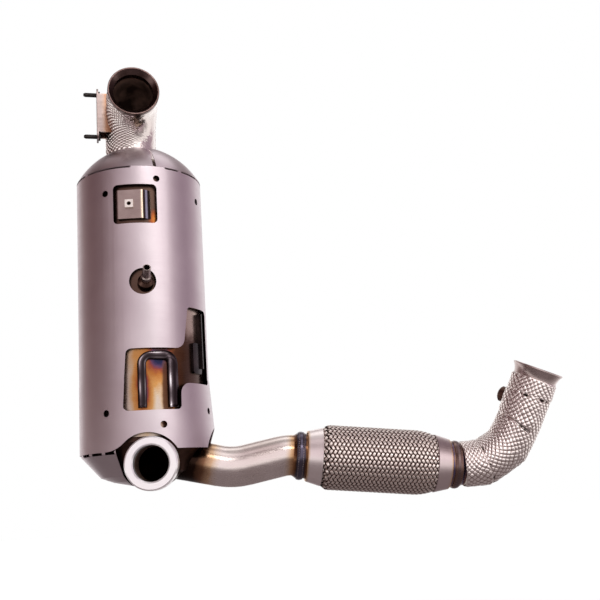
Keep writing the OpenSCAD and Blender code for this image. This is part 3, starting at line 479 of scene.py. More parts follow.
def run_nodes(piece: bpy.types.Object, tree: bpy.types.NodeTree, values: dict[str, Any]) -> None:
    """Runs a geometry tree on a piece and keeps the result as its plain mesh.

    Args:
        piece: Object that the tree changes.
        tree: The geometry tree.
        values: Values of the tree's inputs, by their names.
    """
    modifier = piece.modifiers.new(tree.name, "NODES")
    modifier.node_group = tree
    for item in tree.interface.items_tree:
        if item.in_out == "INPUT" and item.name in values:
            modifier[item.identifier] = values[item.name]
    graph = bpy.context.evaluated_depsgraph_get()
    shown = piece.evaluated_get(graph)
    mesh = bpy.data.meshes.new_from_object(shown, preserve_all_data_layers=True, depsgraph=graph)
    mesh.name = piece.name
    piece.modifiers.clear()
    piece.data = mesh
    mesh.shade_smooth()


def hand_over(piece: bpy.types.Object, body: Body, slot: Slot, *nodes: str) -> None:
    """Says which solids a finished piece stands for, by hiding them, and what it rides on.

    Args:
        piece: The finished piece.
        body: The rigid group that it moves with.
        slot: The record's material slot; not used.
        *nodes: Names of the solids that it replaces.
    """
    if nodes:
        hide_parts(*nodes)
    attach(piece, body.value)
    LOG.info("piece %s: %d faces", piece.name, len(piece.data.polygons))


def new_material(name: str) -> tuple[bpy.types.Material, bpy.types.NodeTree, bpy.types.NodeSocket]:
    """Starts an empty material.

    Args:
        name: The real material and how it was made.

    Returns:
        The material, its tree and the socket of the object coordinates.
    """
    material = bpy.data.materials.new(name)
    material.use_nodes = True
    tree = material.node_tree
    tree.nodes.clear()
    return material, tree, add(tree, "ShaderNodeTexCoord").outputs["Object"]


@dataclass(frozen=True)
class TintZone:
    """Where a tint is centred, and the half sizes in millimetres at which it ends.

    With an axis, the zone is a band across that axis, and the first half size counts.
    """

    centre: tuple[float, float, float]
    half: tuple[float, ...]
    axis: tuple[float, float, float] | None = None


@dataclass(frozen=True)
class Tint:
    """Colours by the share of the way out of the nearest zone, for heat colours and for painted shade and
    highlights: share, colour, strength.
    """

    zones: tuple[TintZone, ...]
    stops: tuple[tuple[float, str, float], ...]
    wander: float = 0.1
    wander_size: float = 14.0


@dataclass(frozen=True)
class Metal:
    """A steel surface: two tones in slow patches, fine marks, soft dents, and tints: heat colours round
    welds, and painted shade and highlights where they are laid.

    Marks are the spacing of the tool marks along each axis, coarser than real ones so that they show.
    Dents are their spacing and depth. All are in millimetres.
    """

    name: str
    tone: str
    other: str
    rough: tuple[float, float] = (0.3, 0.42)
    marks: tuple[float, float, float] = (30.0, 30.0, 0.5)
    mark_depth: float = 0.006
    patch: float = 60.0
    metallic: float = 1.0
    dents: tuple[float, float] = (30.0, 0.0)
    tints: tuple[Tint, ...] = ()

    def build(self) -> bpy.types.Material:
        """Makes the material.

        Returns:
            The new material.
        """
        material, tree, place = new_material(self.name)
        patches = add(tree, NOISE, {"Vector": place, "Scale": 1 / (self.patch * MM), "Detail": 4.0})
        stops = (0.35, linear(self.tone)), (0.65, linear(self.other))
        colour = add(tree, RAMP, {"Fac": patches}, stops)
        scale = tuple(1 / (m * MM) for m in self.marks)
        stretched = add(tree, "ShaderNodeMapping", {"Vector": place, "Scale": scale})
        marks = add(tree, NOISE, {"Vector": stretched, "Scale": 1.0, "Detail": 3.0})
        low, high = self.rough
        rough = add(tree, RANGE, {"Value": marks, "To Min": low, "To Max": high} | NOISE_SPAN)
        normal = add(tree, BUMP, {"Height": marks, "Strength": 0.6, "Distance": self.mark_depth * MM})
        size, depth = self.dents
        if depth:
            dents = add(tree, NOISE, {"Vector": place, "Scale": 1 / (size * MM), "Detail": 1.0})
            normal = add(tree, BUMP, {"Height": dents, "Distance": depth * MM, "Normal": normal})
        for tint in self.tints:
            colour = self._tinted(tree, place, colour, tint)
        surface = {"Base Color": colour, "Metallic": self.metallic, "Roughness": rough, "Normal": normal}
        add(tree, FINISH, {"Surface": add(tree, SURFACE, surface)})
        return material

    def _share(self, tree: bpy.types.NodeTree, place: Any, zone: TintZone) -> bpy.types.Node:
        """Measures how far out of a zone each place is, as a share of its half size.

        Args:
            tree: The material's tree.
            place: Socket of the object coordinates.
            zone: The tint zone.

        Returns:
            Node that gives the share.
        """
        away = add(tree, VECTOR, (place, zone.centre), operation="SUBTRACT")
        if zone.axis:
            scaled = tuple(v / (zone.half[0] * MM) for v in zone.axis)
            along = add(tree, VECTOR, (away, scaled), operation="DOT_PRODUCT")
            return add(tree, MATH, (along,), operation="ABSOLUTE")
        half = tuple(h * MM for h in zone.half)
        share = add(tree, VECTOR, (away, half), operation="DIVIDE")
        return add(tree, VECTOR, (share,), operation="LENGTH")

    def _tinted(self, tree: bpy.types.NodeTree, place: Any, colour: Any, tint: Tint) -> bpy.types.Node:
        """Lays one tint over a colour.

        Args:
            tree: The material's tree.
            place: Socket of the object coordinates.
            colour: Node of the colour under the tint.
            tint: The tint.

        Returns:
            Node of the new colour.
        """
        nearest, *others = [self._share(tree, place, zone) for zone in tint.zones]
        for other in others:
            nearest = add(tree, MATH, (nearest, other), operation="MINIMUM")
        noise = add(tree, NOISE, {"Vector": place, "Scale": 1 / (tint.wander_size * MM), "Detail": 3.0})
        spread = {"From Min": 0.25, "From Max": 0.75, "To Min": -tint.wander, "To Max": tint.wander}
        shift = add(tree, RANGE, {"Value": noise} | spread)
        warped = add(tree, MATH, (nearest, shift), operation="ADD")
        ramp = add(tree, RAMP, {"Fac": warped}, [(p, linear(c, a)) for p, c, a in tint.stops])
        return add(tree, MIX, {0: ramp.outputs["Alpha"], 6: colour, 7: ramp}, data_type="RGBA")


@dataclass(frozen=True)
class Lathed:
    """Turned steel: fine rings round an axis that catch the light as arcs.

    The rings are coarser than real tool marks, which are too fine to show.
    """

    name: str
    tone: str
    other: str
    centre: tuple[float, float, float]
    axis: tuple[float, float, float]
    ring: float = 0.9
    ring_depth: float = 0.01
    rough: float = 0.3
    metallic: float = 0.7

    def build(self) -> bpy.types.Material:
        """Makes the material.

        Returns:
            The new material.
        """
        material, tree, place = new_material(self.name)
        away = add(tree, VECTOR, (place, self.centre), operation="SUBTRACT")
        across = add(tree, VECTOR, (away, self.axis), operation="CROSS_PRODUCT")
        radius = add(tree, VECTOR, (across,), operation="LENGTH")
        turns = add(tree, MATH, (radius, 1 / (self.ring * MM)), operation="MULTIPLY")
        rings = add(tree, NOISE, {"W": turns, "Scale": 1.0, "Detail": 2.0}, noise_dimensions="1D")
        stops = (0.35, linear(self.tone)), (0.7, linear(self.other))
        colour = add(tree, RAMP, {"Fac": rings}, stops)
        bump = add(tree, BUMP, {"Height": rings, "Strength": 0.4, "Distance": self.ring_depth * MM})
        surface = {"Base Color": colour, "Metallic": self.metallic, "Roughness": self.rough, "Normal": bump}
        add(tree, FINISH, {"Surface": add(tree, SURFACE, surface)})
        return material


@dataclass(frozen=True)
class Relief:
    """Bright metal whose colour follows an attribute that the geometry carries: painted shade where it is
    low, painted highlights where it is high.

    Grain is the spacing of its fine unevenness, and wires how many lie side by side in a band.
    """

    name: str
    low: str
    middle: str
    high: str
    rough: tuple[float, float]
    grain: float
    grain_depth: float
    wires: float = 0.0

    def build(self) -> bpy.types.Material:
        """Makes the material.

        Returns:
            The new material.
        """
        material, tree, place = new_material(self.name)
        relief = add(tree, "ShaderNodeAttribute", attribute_name="relief").outputs["Fac"]
        stops = (0.0, linear(self.low)), (0.45, linear(self.middle)), (1.0, linear(self.high))
        colour = add(tree, RAMP, {"Fac": relief}, stops)
        height = add(tree, NOISE, {"Vector": place, "Scale": 1 / (self.grain * MM), "Detail": 4.0})
        low, high = self.rough
        rough = add(tree, RANGE, {"Value": height, "To Min": low, "To Max": high} | NOISE_SPAN)
        if self.wires:
            across = add(tree, "ShaderNodeAttribute", attribute_name="across").outputs["Fac"]
            phase = add(tree, MATH, (across, self.wires * math.pi), operation="MULTIPLY")
            height = add(tree, MATH, (phase,), operation="COSINE")
        bump = add(tree, BUMP, {"Height": height, "Strength": 1.0, "Distance": self.grain_depth * MM})
        surface = {"Base Color": colour, "Metallic": 1.0, "Roughness": rough, "Normal": bump}
        add(tree, FINISH, {"Surface": add(tree, SURFACE, surface)})
        return material


def dress(frame: dict, finish: Metal | Lathed, *nodes: str) -> bpy.types.Material:
    """Gives a finish to solids that keep their shape.

    Args:
        finish: The finish.
        *nodes: Names of the solids.

    Returns:
        The finish's material.
    """
    material = finish.build()
    for name in nodes:
        slots = frame["nodes"][name].data.materials
        slots.clear()
        slots.append(material)
        LOG.info("dressed %s in %s", name, material.name)
    return material


def emboss_tree() -> bpy.types.NodeTree:
    """Builds the tree that presses diamonds into a foil.

    Returns:
        A tree that lifts points along their normals by the foil's own path and round attributes.
    """
    # Shares of full dark on plain foil and of painted shade in grooves, and of a pitch over which a pillow
    # rises
    plain_darkening, groove_shade, rise = 0.22, 0.68, 0.2
    sizes = ("Pitch", "Drift", "Drift Size", "Relief", "Crumple", "Crumple Size", "Pit Depth")
    tree, given = new_tree("pressed_diamonds", sizes)
    named = "GeometryNodeInputNamedAttribute"
    read = {
        key: add(tree, named, {"Name": key}) for key in ("path", "round", "pressed", "pit", "loose", "lift")
    }
    drift_scale = add(tree, MATH, (1.0, given["Drift Size"]), operation="DIVIDE")
    bent = []
    for key, seed in (("path", 0.0), ("round", 7.0)):
        noise = {"W": seed, "Scale": drift_scale, "Detail": 1.0}
        drift = add(tree, NOISE, noise, noise_dimensions="4D")
        centred = add(tree, MATH, (drift, 0.5), operation="SUBTRACT")
        bent.append(add(tree, MATH, (centred, given["Drift"], read[key]), operation="MULTIPLY_ADD"))
    pillows = []
    for operation in ("ADD", "SUBTRACT"):
        slanted = add(tree, MATH, bent, operation=operation)
        turns = add(tree, MATH, (slanted, given["Pitch"]), operation="DIVIDE")
        wave = add(tree, MATH, (turns, 0.5), operation="PINGPONG")
        pillow = {"Value": wave, "From Max": rise}
        pillows.append(add(tree, RANGE, pillow, interpolation_type="SMOOTHSTEP"))
    pillow = add(tree, MATH, pillows, operation="MULTIPLY")
    pressed = add(tree, MATH, (pillow, read["pressed"]), operation="MULTIPLY")
    # Grooves get painted shade, plain foil is a little darker and pits are black
    between = add(tree, MATH, (1.0, pillow), operation="SUBTRACT")
    groove = add(tree, MATH, (between, read["pressed"]), operation="MULTIPLY")
    plain = add(tree, MATH, (1.0, read["pressed"]), operation="SUBTRACT")
    dull = add(tree, MATH, (plain, plain_darkening, read["pit"]), operation="MULTIPLY_ADD")
    dark = add(tree, MATH, (groove, groove_shade, dull), operation="MULTIPLY_ADD")
    bright = add(tree, MATH, (1.0, dark), operation="SUBTRACT")
    crumple_scale = add(tree, MATH, (1.0, given["Crumple Size"]), operation="DIVIDE")
    noise = add(tree, NOISE, {"Scale": crumple_scale, "Detail": 4.0})
    centred = add(tree, MATH, (noise, 0.5), operation="SUBTRACT")
    crumple = add(tree, MATH, (centred, given["Crumple"]), operation="MULTIPLY")
    raised = add(tree, MATH, (pressed, given["Relief"], read["lift"]), operation="MULTIPLY_ADD")
    uneven = add(tree, MATH, (crumple, read["loose"], raised), operation="MULTIPLY_ADD")
    sunk = add(tree, MATH, (read["pit"], given["Pit Depth"]), operation="MULTIPLY")
    height = add(tree, MATH, (uneven, sunk), operation="SUBTRACT")
    normal = add(tree, "GeometryNodeInputNormal")
    offset = add(tree, VECTOR, {0: normal, "Scale": height}, operation="SCALE")
    moved = add(tree, "GeometryNodeSetPosition", {"Geometry": given["Geometry"], "Offset": offset})
    kept = {"Geometry": moved, "Name": "relief", "Value": bright}
    return close_tree(tree, given, add(tree, "GeometryNodeStoreNamedAttribute", kept))


def turned_from(degrees: np.ndarray, middle: float) -> np.ndarray:
    """Returns how far directions are from a middle one, in degrees, from 0 to 180."""
    return np.abs((degrees - middle + 180.0) % 360.0 - 180.0)


def held(values: np.ndarray, low: float = 0.0) -> np.ndarray:
    """Returns values held between a low end and one."""
    return np.clip(values, low, 1.0)


@dataclass(frozen=True)
class Pit:
    """A dark gap or tack in a foil: its place along and round it, and its half sizes.

    The angle is in degrees, the rest in millimetres.
    """

    along: float
    angle: float
    half_along: float
    half_round: float

    def depth(self, s: np.ndarray, degrees: np.ndarray, r: float) -> np.ndarray:
        """Finds how deep each place of a foil lies in the pit.

        Args:
            s: Distances along the foil.
            degrees: Directions round the foil.
            r: Radius of the foil.

        Returns:
            Shares from 0 to 1.
        """
        off = np.radians(turned_from(degrees, self.angle)) * r
        # Flat to half its size, then a steep rim
        return held(1.6 - 1.2 * np.hypot((s - self.along) / self.half_along, off / self.half_round))


@dataclass(frozen=True)
class FoilCover:
    """A gore of embossed foil round a bent pipe, with its own thickness.

    The slant moves the first edge at the direction that it gives. The smooth zone is a direction and its
    half width. The flap is a second layer from a line on: direction and distance of each of its corners.
    """

    name: str
    path: PipePath
    span: tuple[float, float]
    outer_r: float
    inner_r: float
    body: Body
    slant: tuple[float, float] = (180.0, 0.0)
    smooth: tuple[float, float] | None = None
    smooth_fade: float = 14.0
    smooth_left: float = 0.06
    pits: tuple[Pit, ...] = ()
    pit_depth: float = 0.7
    flap: tuple[tuple[float, float], ...] = ()
    flap_lift: float = 1.3
    flap_edge: float = 1.2
    flap_fade: float = 2.0
    flap_end: float = 5.0
    step: float = 0.75
    relief: float = 1.0
    bed: float = 0.35
    crumple: float = 2.6
    crumple_size: float = 18.0
    pitch: float = 6.2
    drift: float = 6.0
    drift_size: float = 22.0
    rim: float = 2.0
    inner_rows: int = 24
    slot: Slot = Slot.FOIL

    def build(self, tree: bpy.types.NodeTree, material: bpy.types.Material) -> None:
        """Makes the foil, presses it and puts it in its solid's place.

        Args:
            tree: The pressing tree.
            material: The foil's finish.
        """
        first, last = self.span
        count = round(FULL_TURN * self.outer_r / self.step)
        rows = max(2, round((last - first) / self.step))
        theta = np.linspace(0.0, FULL_TURN, count, endpoint=False)[None, :]
        degrees = np.degrees(theta)
        # The inner wall isn't seen, so it has fewer rows
        back = np.linspace(1.0, 0.0, max(self.inner_rows, rows // 8))
        share = np.concatenate([np.linspace(0.0, 1.0, rows), back])[:, None]
        low = first + self.slant[1] * (1 + np.cos(np.radians(degrees - self.slant[0]))) / 2
        s = low + (last - low) * share
        full = np.ones_like(s)
        outside = (np.arange(len(share)) < rows)[:, None] * full
        r = np.where(outside > 0, self.outer_r - self.bed * self.relief, self.inner_r)
        points = self.path.ring(s, r, theta * full).reshape(-1, 3)
        loose = held((s - low) / self.rim) * held((last - s) / self.rim)
        pressed = loose
        if self.smooth:
            off = turned_from(degrees, self.smooth[0]) - self.smooth[1]
            pressed = pressed * held(off / self.smooth_fade, self.smooth_left)
        pit = np.zeros_like(s)
        for spot in self.pits:
            pit = np.maximum(pit, spot.depth(s, degrees, self.outer_r))
        lift = np.zeros_like(s)
        if self.flap:
            corner_angles, corner_places = np.array(self.flap).T
            over = s - np.interp(degrees, corner_angles, corner_places, period=360.0)
            lift = held(over / self.flap_edge + 0.5) * self.flap_lift * held((last - s) / self.flap_end)
            # A dark line of painted shade lies under the flap's edge, carried as a pit, and the pressing
            # fades towards it
            pit = np.maximum(pit, held(1.4 - np.abs(over + self.flap_edge) / self.flap_edge))
            pressed = pressed * held(np.abs(over) / self.flap_fade)
        turns = round(FULL_TURN * self.outer_r / self.pitch)
        attributes = {
            "path": s, "round": theta / FULL_TURN * turns * self.pitch * full, "pressed": pressed * outside,
            "pit": pit * outside, "loose": loose * outside, "lift": lift * outside * MM,
        }
        piece = make_piece(self.name + "_pressed", points, grid_faces(len(s), count, True), attributes)
        sizes = {
            "Relief": self.relief, "Crumple": self.crumple, "Crumple Size": self.crumple_size,
            "Pit Depth": self.pit_depth, "Drift Size": self.drift_size,
        }
        values = {key: value * MM for key, value in sizes.items()}
        run_nodes(piece, tree, values | {"Pitch": self.pitch, "Drift": self.drift, "Material": material})
        hand_over(piece, self.body, self.slot, self.name)


@dataclass(frozen=True)
class WeldRipples:
    """The ripples of a weld bead round a pipe: one small mound for each drop of the weld."""

    name: str
    centre: Vector
    axis: tuple[float, float, float]
    radius: float
    body: Body
    width: float = 6.6
    height: float = 1.6
    count: int = 64
    overlap: float = 1.9

    @staticmethod
    def tree() -> bpy.types.NodeTree:
        """Builds the tree that sets mounds round a ring.

        Returns:
            A tree that places a flat ball at each step of a circle.
        """
        tree, given = new_tree("weld_ripples", ("Radius", "Width", "Height", "Overlap"), ("Count",))
        pitch = add(tree, MATH, (FULL_TURN, given["Count"]), operation="DIVIDE")
        angle = add(tree, MATH, (add(tree, "GeometryNodeInputIndex"), pitch), operation="MULTIPLY")
        flat = []
        for way in ("COSINE", "SINE"):
            share = add(tree, MATH, (angle,), operation=way)
            flat.append(add(tree, MATH, (given["Radius"], share), operation="MULTIPLY"))
        points = add(tree, "GeometryNodePoints", {"Count": given["Count"]})
        spot = add(tree, XYZ, flat)
        ring = add(tree, "GeometryNodeSetPosition", {"Geometry": points, "Position": spot})
        # A ball of few faces is enough for so small a mound
        ball = add(tree, "GeometryNodeMeshUVSphere", {"Segments": 12, "Rings": 8, "Radius": 0.5})
        step = add(tree, MATH, (given["Radius"], pitch), operation="MULTIPLY")
        length = add(tree, MATH, (step, given["Overlap"]), operation="MULTIPLY")
        size = add(tree, XYZ, (given["Height"], length, given["Width"]))
        copies = {"Points": ring, "Instance": ball, "Rotation": add(tree, XYZ, {2: angle}), "Scale": size}
        return close_tree(tree, given, add(tree, "GeometryNodeInstanceOnPoints", copies))

    def build(self, material: bpy.types.Material) -> None:
        """Lays the ripples on the weld.

        Args:
            material: The weld's finish.
        """
        piece = make_piece(self.name, np.zeros((1, 3)), [])
        values = {"Radius": self.radius * MM, "Width": self.width * MM, "Height": self.height * MM}
        values |= {"Overlap": self.overlap, "Count": self.count, "Material": material}
        run_nodes(piece, self.tree(), values)
        turn = Vector((0.0, 0.0, 1.0)).rotation_difference(Vector(self.axis)).to_matrix().to_4x4()
        piece.data.transform(Matrix.Translation(self.centre) @ turn)
        hand_over(piece, self.body, Slot.PIPE)


@dataclass(frozen=True)
class HangerStrap:
    """The hanger's strap: a rounded pressing that lies on the shell as an upside-down U.

    Glints are painted highlights: where they lie across it, how wide the two are and how bright the second
    is.
    """

    angle: float = 23.5
    legs: tuple[float, float] = (-17.5, 16.0)
    half_w: tuple[float, float] = (4.5, 6.0)
    bar_z: float = 99.0
    foot_z: float = 43.5
    corner_r: float = 9.0
    crown: float = 3.6
    gap: float = 0.15
    squareness: float = 0.62
    glint_place: float = 0.62
    glint_w: tuple[float, float] = (0.2, 0.14)
    second_glint: float = 0.4
    leg_rows: int = 14
    bar_rows: int = 8
    corner_rows: int = 9
    over_sides: int = 17
    under_sides: int = 5

    def _route(self) -> tuple[np.ndarray, np.ndarray, np.ndarray]:
        """Lays out the strap as if the shell were flat.

        Returns:
            Its middle line, its direction and its half width at each place.
        """
        left, right = self.legs
        corner, top = self.corner_r, self.bar_z
        turn = np.linspace(0.0, math.pi / 2, self.corner_rows)
        near, far = corner * (1 - np.cos(turn)), corner * (1 - np.sin(turn))
        rise = np.linspace(self.foot_z, top - corner, self.leg_rows)
        bar = np.linspace(left + corner, right - corner, self.bar_rows)
        runs = (
            (np.full(self.leg_rows, left), rise),
            (left + near, top - far),
            (bar, np.full(self.bar_rows, top)),
            (right - far, top - near),
            (np.full(self.leg_rows, right), rise[::-1]),
        )
        arch = np.concatenate([np.stack(run, axis=1)[k > 0 :] for k, run in enumerate(runs)])
        ways = np.gradient(arch, axis=0)
        ways /= np.linalg.norm(ways, axis=1, keepdims=True)
        share = held((arch[:, 0] - left) / (right - left))
        return arch, ways, self.half_w[0] + (self.half_w[1] - self.half_w[0]) * share**2

    def build(self, material: bpy.types.Material) -> None:
        """Presses the strap and puts it in its solid's place.

        Args:
            material: The strap's finish.
        """
        line, ways, half = self._route()
        over = np.linspace(0.0, math.pi, self.over_sides)
        under = np.linspace(-1.0, 1.0, self.under_sides + 2)[1:-1]
        across = np.concatenate([np.cos(over) * np.abs(np.cos(over)) ** (self.squareness - 1), under])
        rise = np.concatenate([np.sin(over) ** self.squareness, np.zeros(self.under_sides)])
        side = np.stack([ways[:, 1], -ways[:, 0]], axis=1)
        flat = line[:, None, :] + side[:, None, :] * (across[None, :] * half[:, None])[..., None]
        r = CANISTER.can_r + self.gap + self.crown * rise[None, :] * np.ones((len(line), 1))
        turn = self.angle + np.degrees(np.arcsin(flat[..., 0] / r))
        points = CANISTER.round_place(turn, r, flat[..., 1]).reshape(-1, 3)
        count = len(across)
        caps = [list(range(count))[::-1], [(len(line) - 1) * count + k for k in range(count)]]
        # The painted glint changes sides where the strap turns down, and is broken into patches
        lean = self.glint_place * (2 * held(-ways[:, 1]) - 1)[:, None]
        shine = np.exp(-(((across - lean) / self.glint_w[0]) ** 2))
        shine = shine + self.second_glint * np.exp(-(((across + lean) / self.glint_w[1]) ** 2))
        patchy = 0.6 + 0.4 * np.sin(0.21 * line[:, 1] + 0.33 * line[:, 0])
        relief = held(shine) * patchy[:, None]
        faces = grid_faces(len(line), count, False) + caps
        piece = make_piece("hanger_strap", points, faces, {"relief": relief})
        piece.data.materials.append(material)
        hand_over(piece, Body.CANISTER, Slot.BRACKET, "hanger_bracket")


@dataclass(frozen=True)
class Coupling:
    """The flexible coupling: a woven sleeve over bellows and a liner, all of which bend."""

    length: float = 193.0
    slope: float = -6.9
    start: tuple[float, float] = (162.016, -13.0928)
    weld: float = 8.3
    weld_r: float = 26.0
    weld_h: float = 1.5
    braid_start: float = 27.9
    sleeve_end: float = 32.6
    rise_start: float = 30.1
    braid_r: float = 35.2
    braid_end_r: float = 29.075
    braid_rise: float = 11.0
    rear_rise: float = 26.0
    rear_round: float = 2.0
    braid_wall: float = 1.6
    bands: int = 24
    lead: float = 114.0
    band_w: float = 4.0
    band_t: float = 0.7
    weave: float = 0.6
    rows_per_wave: int = 9
    band_points: int = 7
    fold_start: float = 28.4
    folds: int = 15
    fold_rows: int = 8
    fold_gap: float = 0.6
    cuff_start: float = 16.8
    cuff_r: float = 25.95
    sheet: float = 0.8
    liner_start: float = 10.0
    liner_r: float = 23.35
    liner_rows: int = 24
    tube_sides: int = 72

    def along(self) -> np.ndarray:
        """Returns the direction of the coupling's axis."""
        a = math.radians(self.slope)
        return RUN_PLANE.axes()[0] * math.cos(a) + np.array([0.0, 0.0, math.sin(a)])

    def matrix(self) -> Matrix:
        """Finds where the coupling lies.

        Returns:
            Matrix from its own axis along Z, in metres, to the part's frame.
        """
        side = RUN_PLANE.axes()[1]
        columns = np.eye(4)
        columns[:3, 0] = np.cross(side, self.along())
        columns[:3, 1] = side
        columns[:3, 2] = self.along()
        columns[:3, 3] = RUN_PLANE.place(self.start[0], 0.0, self.start[1])
        return Matrix(columns.tolist())

    def at(self, along: float) -> Vector:
        """Returns the point of the axis at a distance from the front weld's pipe."""
        return self.matrix() @ Vector((0.0, 0.0, along * MM))

    def cloth_r(self, u: np.ndarray) -> np.ndarray:
        """Finds the radius of the woven sleeve.

        Args:
            u: Distances along the coupling's axis.

        Returns:
            The radius at each of them.
        """
        front = held((u - self.rise_start) / self.braid_rise)
        rear = held((self.length - u - self.rise_start) / self.rear_rise)
        inside = np.minimum(front * front * (3 - 2 * front), 1 - (1 - rear) ** self.rear_round)
        return self.braid_end_r + (self.braid_r - self.braid_end_r) * inside

    @staticmethod
    def band_tree() -> bpy.types.NodeTree:
        """Builds the tree that weaves the sleeve.

        Returns:
            A tree that winds one flat band of each hand, waves it over and under, and repeats both.
        """
        # Share of the wave over which a band changes sides, and of its painted shine that its edges lack
        change, edge_loss = 0.62, 0.65
        sizes = ("Start", "Length", "Lead", "Wave", "Radius", "End Radius", "Inset", "Front Rise")
        sizes += ("Rear Rise", "Rear Round", "Width", "Thickness")
        tree, given = new_tree("woven_bands", sizes, ("Bands", "Rows", "Points"))
        # One square grid is rolled up across to a flat band, and its length runs along the sleeve
        square = {"Size X": 1.0, "Size Y": 1.0, "Vertices X": given["Rows"], "Vertices Y": given["Points"]}
        grid = add(tree, "GeometryNodeMeshGrid", square)
        corner = add(tree, "ShaderNodeSeparateXYZ", (add(tree, "GeometryNodeInputPosition"),)).outputs
        share = add(tree, MATH, (corner["X"], 0.5), operation="ADD")
        u = add(tree, MATH, (share, given["Length"]), operation="MULTIPLY")
        turn = add(tree, MATH, (corner["Y"], FULL_TURN), operation="MULTIPLY")
        across = add(tree, MATH, (turn,), operation="COSINE")
        half_w = add(tree, MATH, (given["Width"], 0.5), operation="MULTIPLY")
        wide = add(tree, MATH, (across, half_w), operation="MULTIPLY")
        half_t = add(tree, MATH, (given["Thickness"], 0.5), operation="MULTIPLY")
        thick = add(tree, MATH, (add(tree, MATH, (turn,), operation="SINE"), half_t), operation="MULTIPLY")
        # The sleeve swells from its ends, in a smooth step in front and a round shoulder behind
        rest = add(tree, MATH, (given["Length"], u), operation="SUBTRACT")
        rises = []
        for key, place, kind in (("Front Rise", u, "SMOOTHSTEP"), ("Rear Rise", rest, "LINEAR")):
            full = add(tree, MATH, (given["Inset"], given[key]), operation="ADD")
            shoulder = {"Value": place, "From Min": given["Inset"], "From Max": full}
            rises.append(add(tree, RANGE, shoulder, interpolation_type=kind))
        short = add(tree, MATH, (1.0, rises[1]), operation="SUBTRACT")
        bulge = add(tree, MATH, (short, given["Rear Round"]), operation="POWER")
        rear = add(tree, MATH, (1.0, bulge), operation="SUBTRACT")
        swell = add(tree, MATH, (rises[0], rear), operation="MINIMUM")
        depth = add(tree, MATH, (given["Radius"], given["End Radius"]), operation="SUBTRACT")
        cloth = add(tree, MATH, (swell, depth, given["End Radius"]), operation="MULTIPLY_ADD")
        whole_turns = add(tree, MATH, (u, FULL_TURN), operation="MULTIPLY")
        around = add(tree, MATH, (whole_turns, given["Lead"]), operation="DIVIDE")
        phase = add(tree, MATH, (around, given["Bands"]), operation="MULTIPLY")
        wave = add(tree, MATH, (phase,), operation="COSINE")
        flats = {"Value": wave, "From Min": -change, "From Max": change, "To Min": -1.0, "To Max": 1.0}
        swing = add(tree, RANGE, flats, interpolation_type="SMOOTHSTEP")
        # Painted light: a band is brightest along its middle and where it lies on top, with painted shade
        # at its edges and where it passes under
        edge = add(tree, MATH, (across, across), operation="MULTIPLY")
        edge_shaded = add(tree, MATH, (edge, -edge_loss, 1.0), operation="MULTIPLY_ADD")
        pair = add(tree, "GeometryNodeJoinGeometry")
        for hand in Hand:
            over = add(tree, MATH, (swing, hand.value), operation="MULTIPLY")
            lift = add(tree, MATH, (over, given["Wave"], thick), operation="MULTIPLY_ADD")
            r = add(tree, MATH, (cloth, lift), operation="ADD")
            girth = add(tree, MATH, (r, FULL_TURN), operation="MULTIPLY")
            slope = add(tree, MATH, (girth, given["Lead"]), operation="DIVIDE")
            lay = add(tree, MATH, (slope,), operation="ARCTANGENT")
            sine, cosine = (add(tree, MATH, (lay,), operation=way) for way in ("SINE", "COSINE"))
            back = add(tree, MATH, (wide, sine), operation="MULTIPLY")
            ahead = add(tree, MATH, (back, -hand.value, u), operation="MULTIPLY_ADD")
            z = add(tree, MATH, (ahead, given["Start"]), operation="ADD")
            aside = add(tree, MATH, (wide, cosine), operation="MULTIPLY")
            swung = add(tree, MATH, (aside, r), operation="DIVIDE")
            angle = add(tree, MATH, (around, hand.value, swung), operation="MULTIPLY_ADD")
            flat = []
            for way in ("COSINE", "SINE"):
                part = add(tree, MATH, (angle,), operation=way)
                flat.append(add(tree, MATH, (r, part), operation="MULTIPLY"))
            raised = add(tree, MATH, (over, 0.5, 0.5), operation="MULTIPLY_ADD")
            shown = add(tree, MATH, (raised, edge_shaded), operation="MULTIPLY")
            shape = grid
            for key, value in (("across", across), ("relief", shown)):
                kept = {"Geometry": shape, "Name": key, "Value": value}
                shape = add(tree, "GeometryNodeStoreNamedAttribute", kept)
            spot = add(tree, XYZ, (*flat, z))
            placed = add(tree, "GeometryNodeSetPosition", {"Geometry": shape, "Position": spot})
            tree.links.new(placed.outputs[0], pair.inputs[0])
        closed = add(tree, "GeometryNodeMergeByDistance", {"Geometry": pair, "Distance": 0.0005 * MM})
        points = add(tree, "GeometryNodePoints", {"Count": given["Bands"]})
        pitch = add(tree, MATH, (FULL_TURN, given["Bands"]), operation="DIVIDE")
        spin = add(tree, MATH, (add(tree, "GeometryNodeInputIndex"), pitch), operation="MULTIPLY")
        copies = {"Points": points, "Instance": closed, "Rotation": add(tree, XYZ, {2: spin})}
        return close_tree(tree, given, add(tree, "GeometryNodeInstanceOnPoints", copies))

    def bend_with_tail(self, piece: bpy.types.Object, node: str, slot: Slot) -> None:
        """Puts a piece in the coupling's place, fixed to the canister, and lets it stand for its solid.

        Args:
            piece: The finished piece.
            node: The solid that it stands for.
            slot: The record's slot.
        """
        piece.data.transform(self.matrix())
        ends = self.at(self.sleeve_end), self.at(self.length - self.sleeve_end)
        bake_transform(piece)
        hand_over(piece, Body.CANISTER, slot, node)

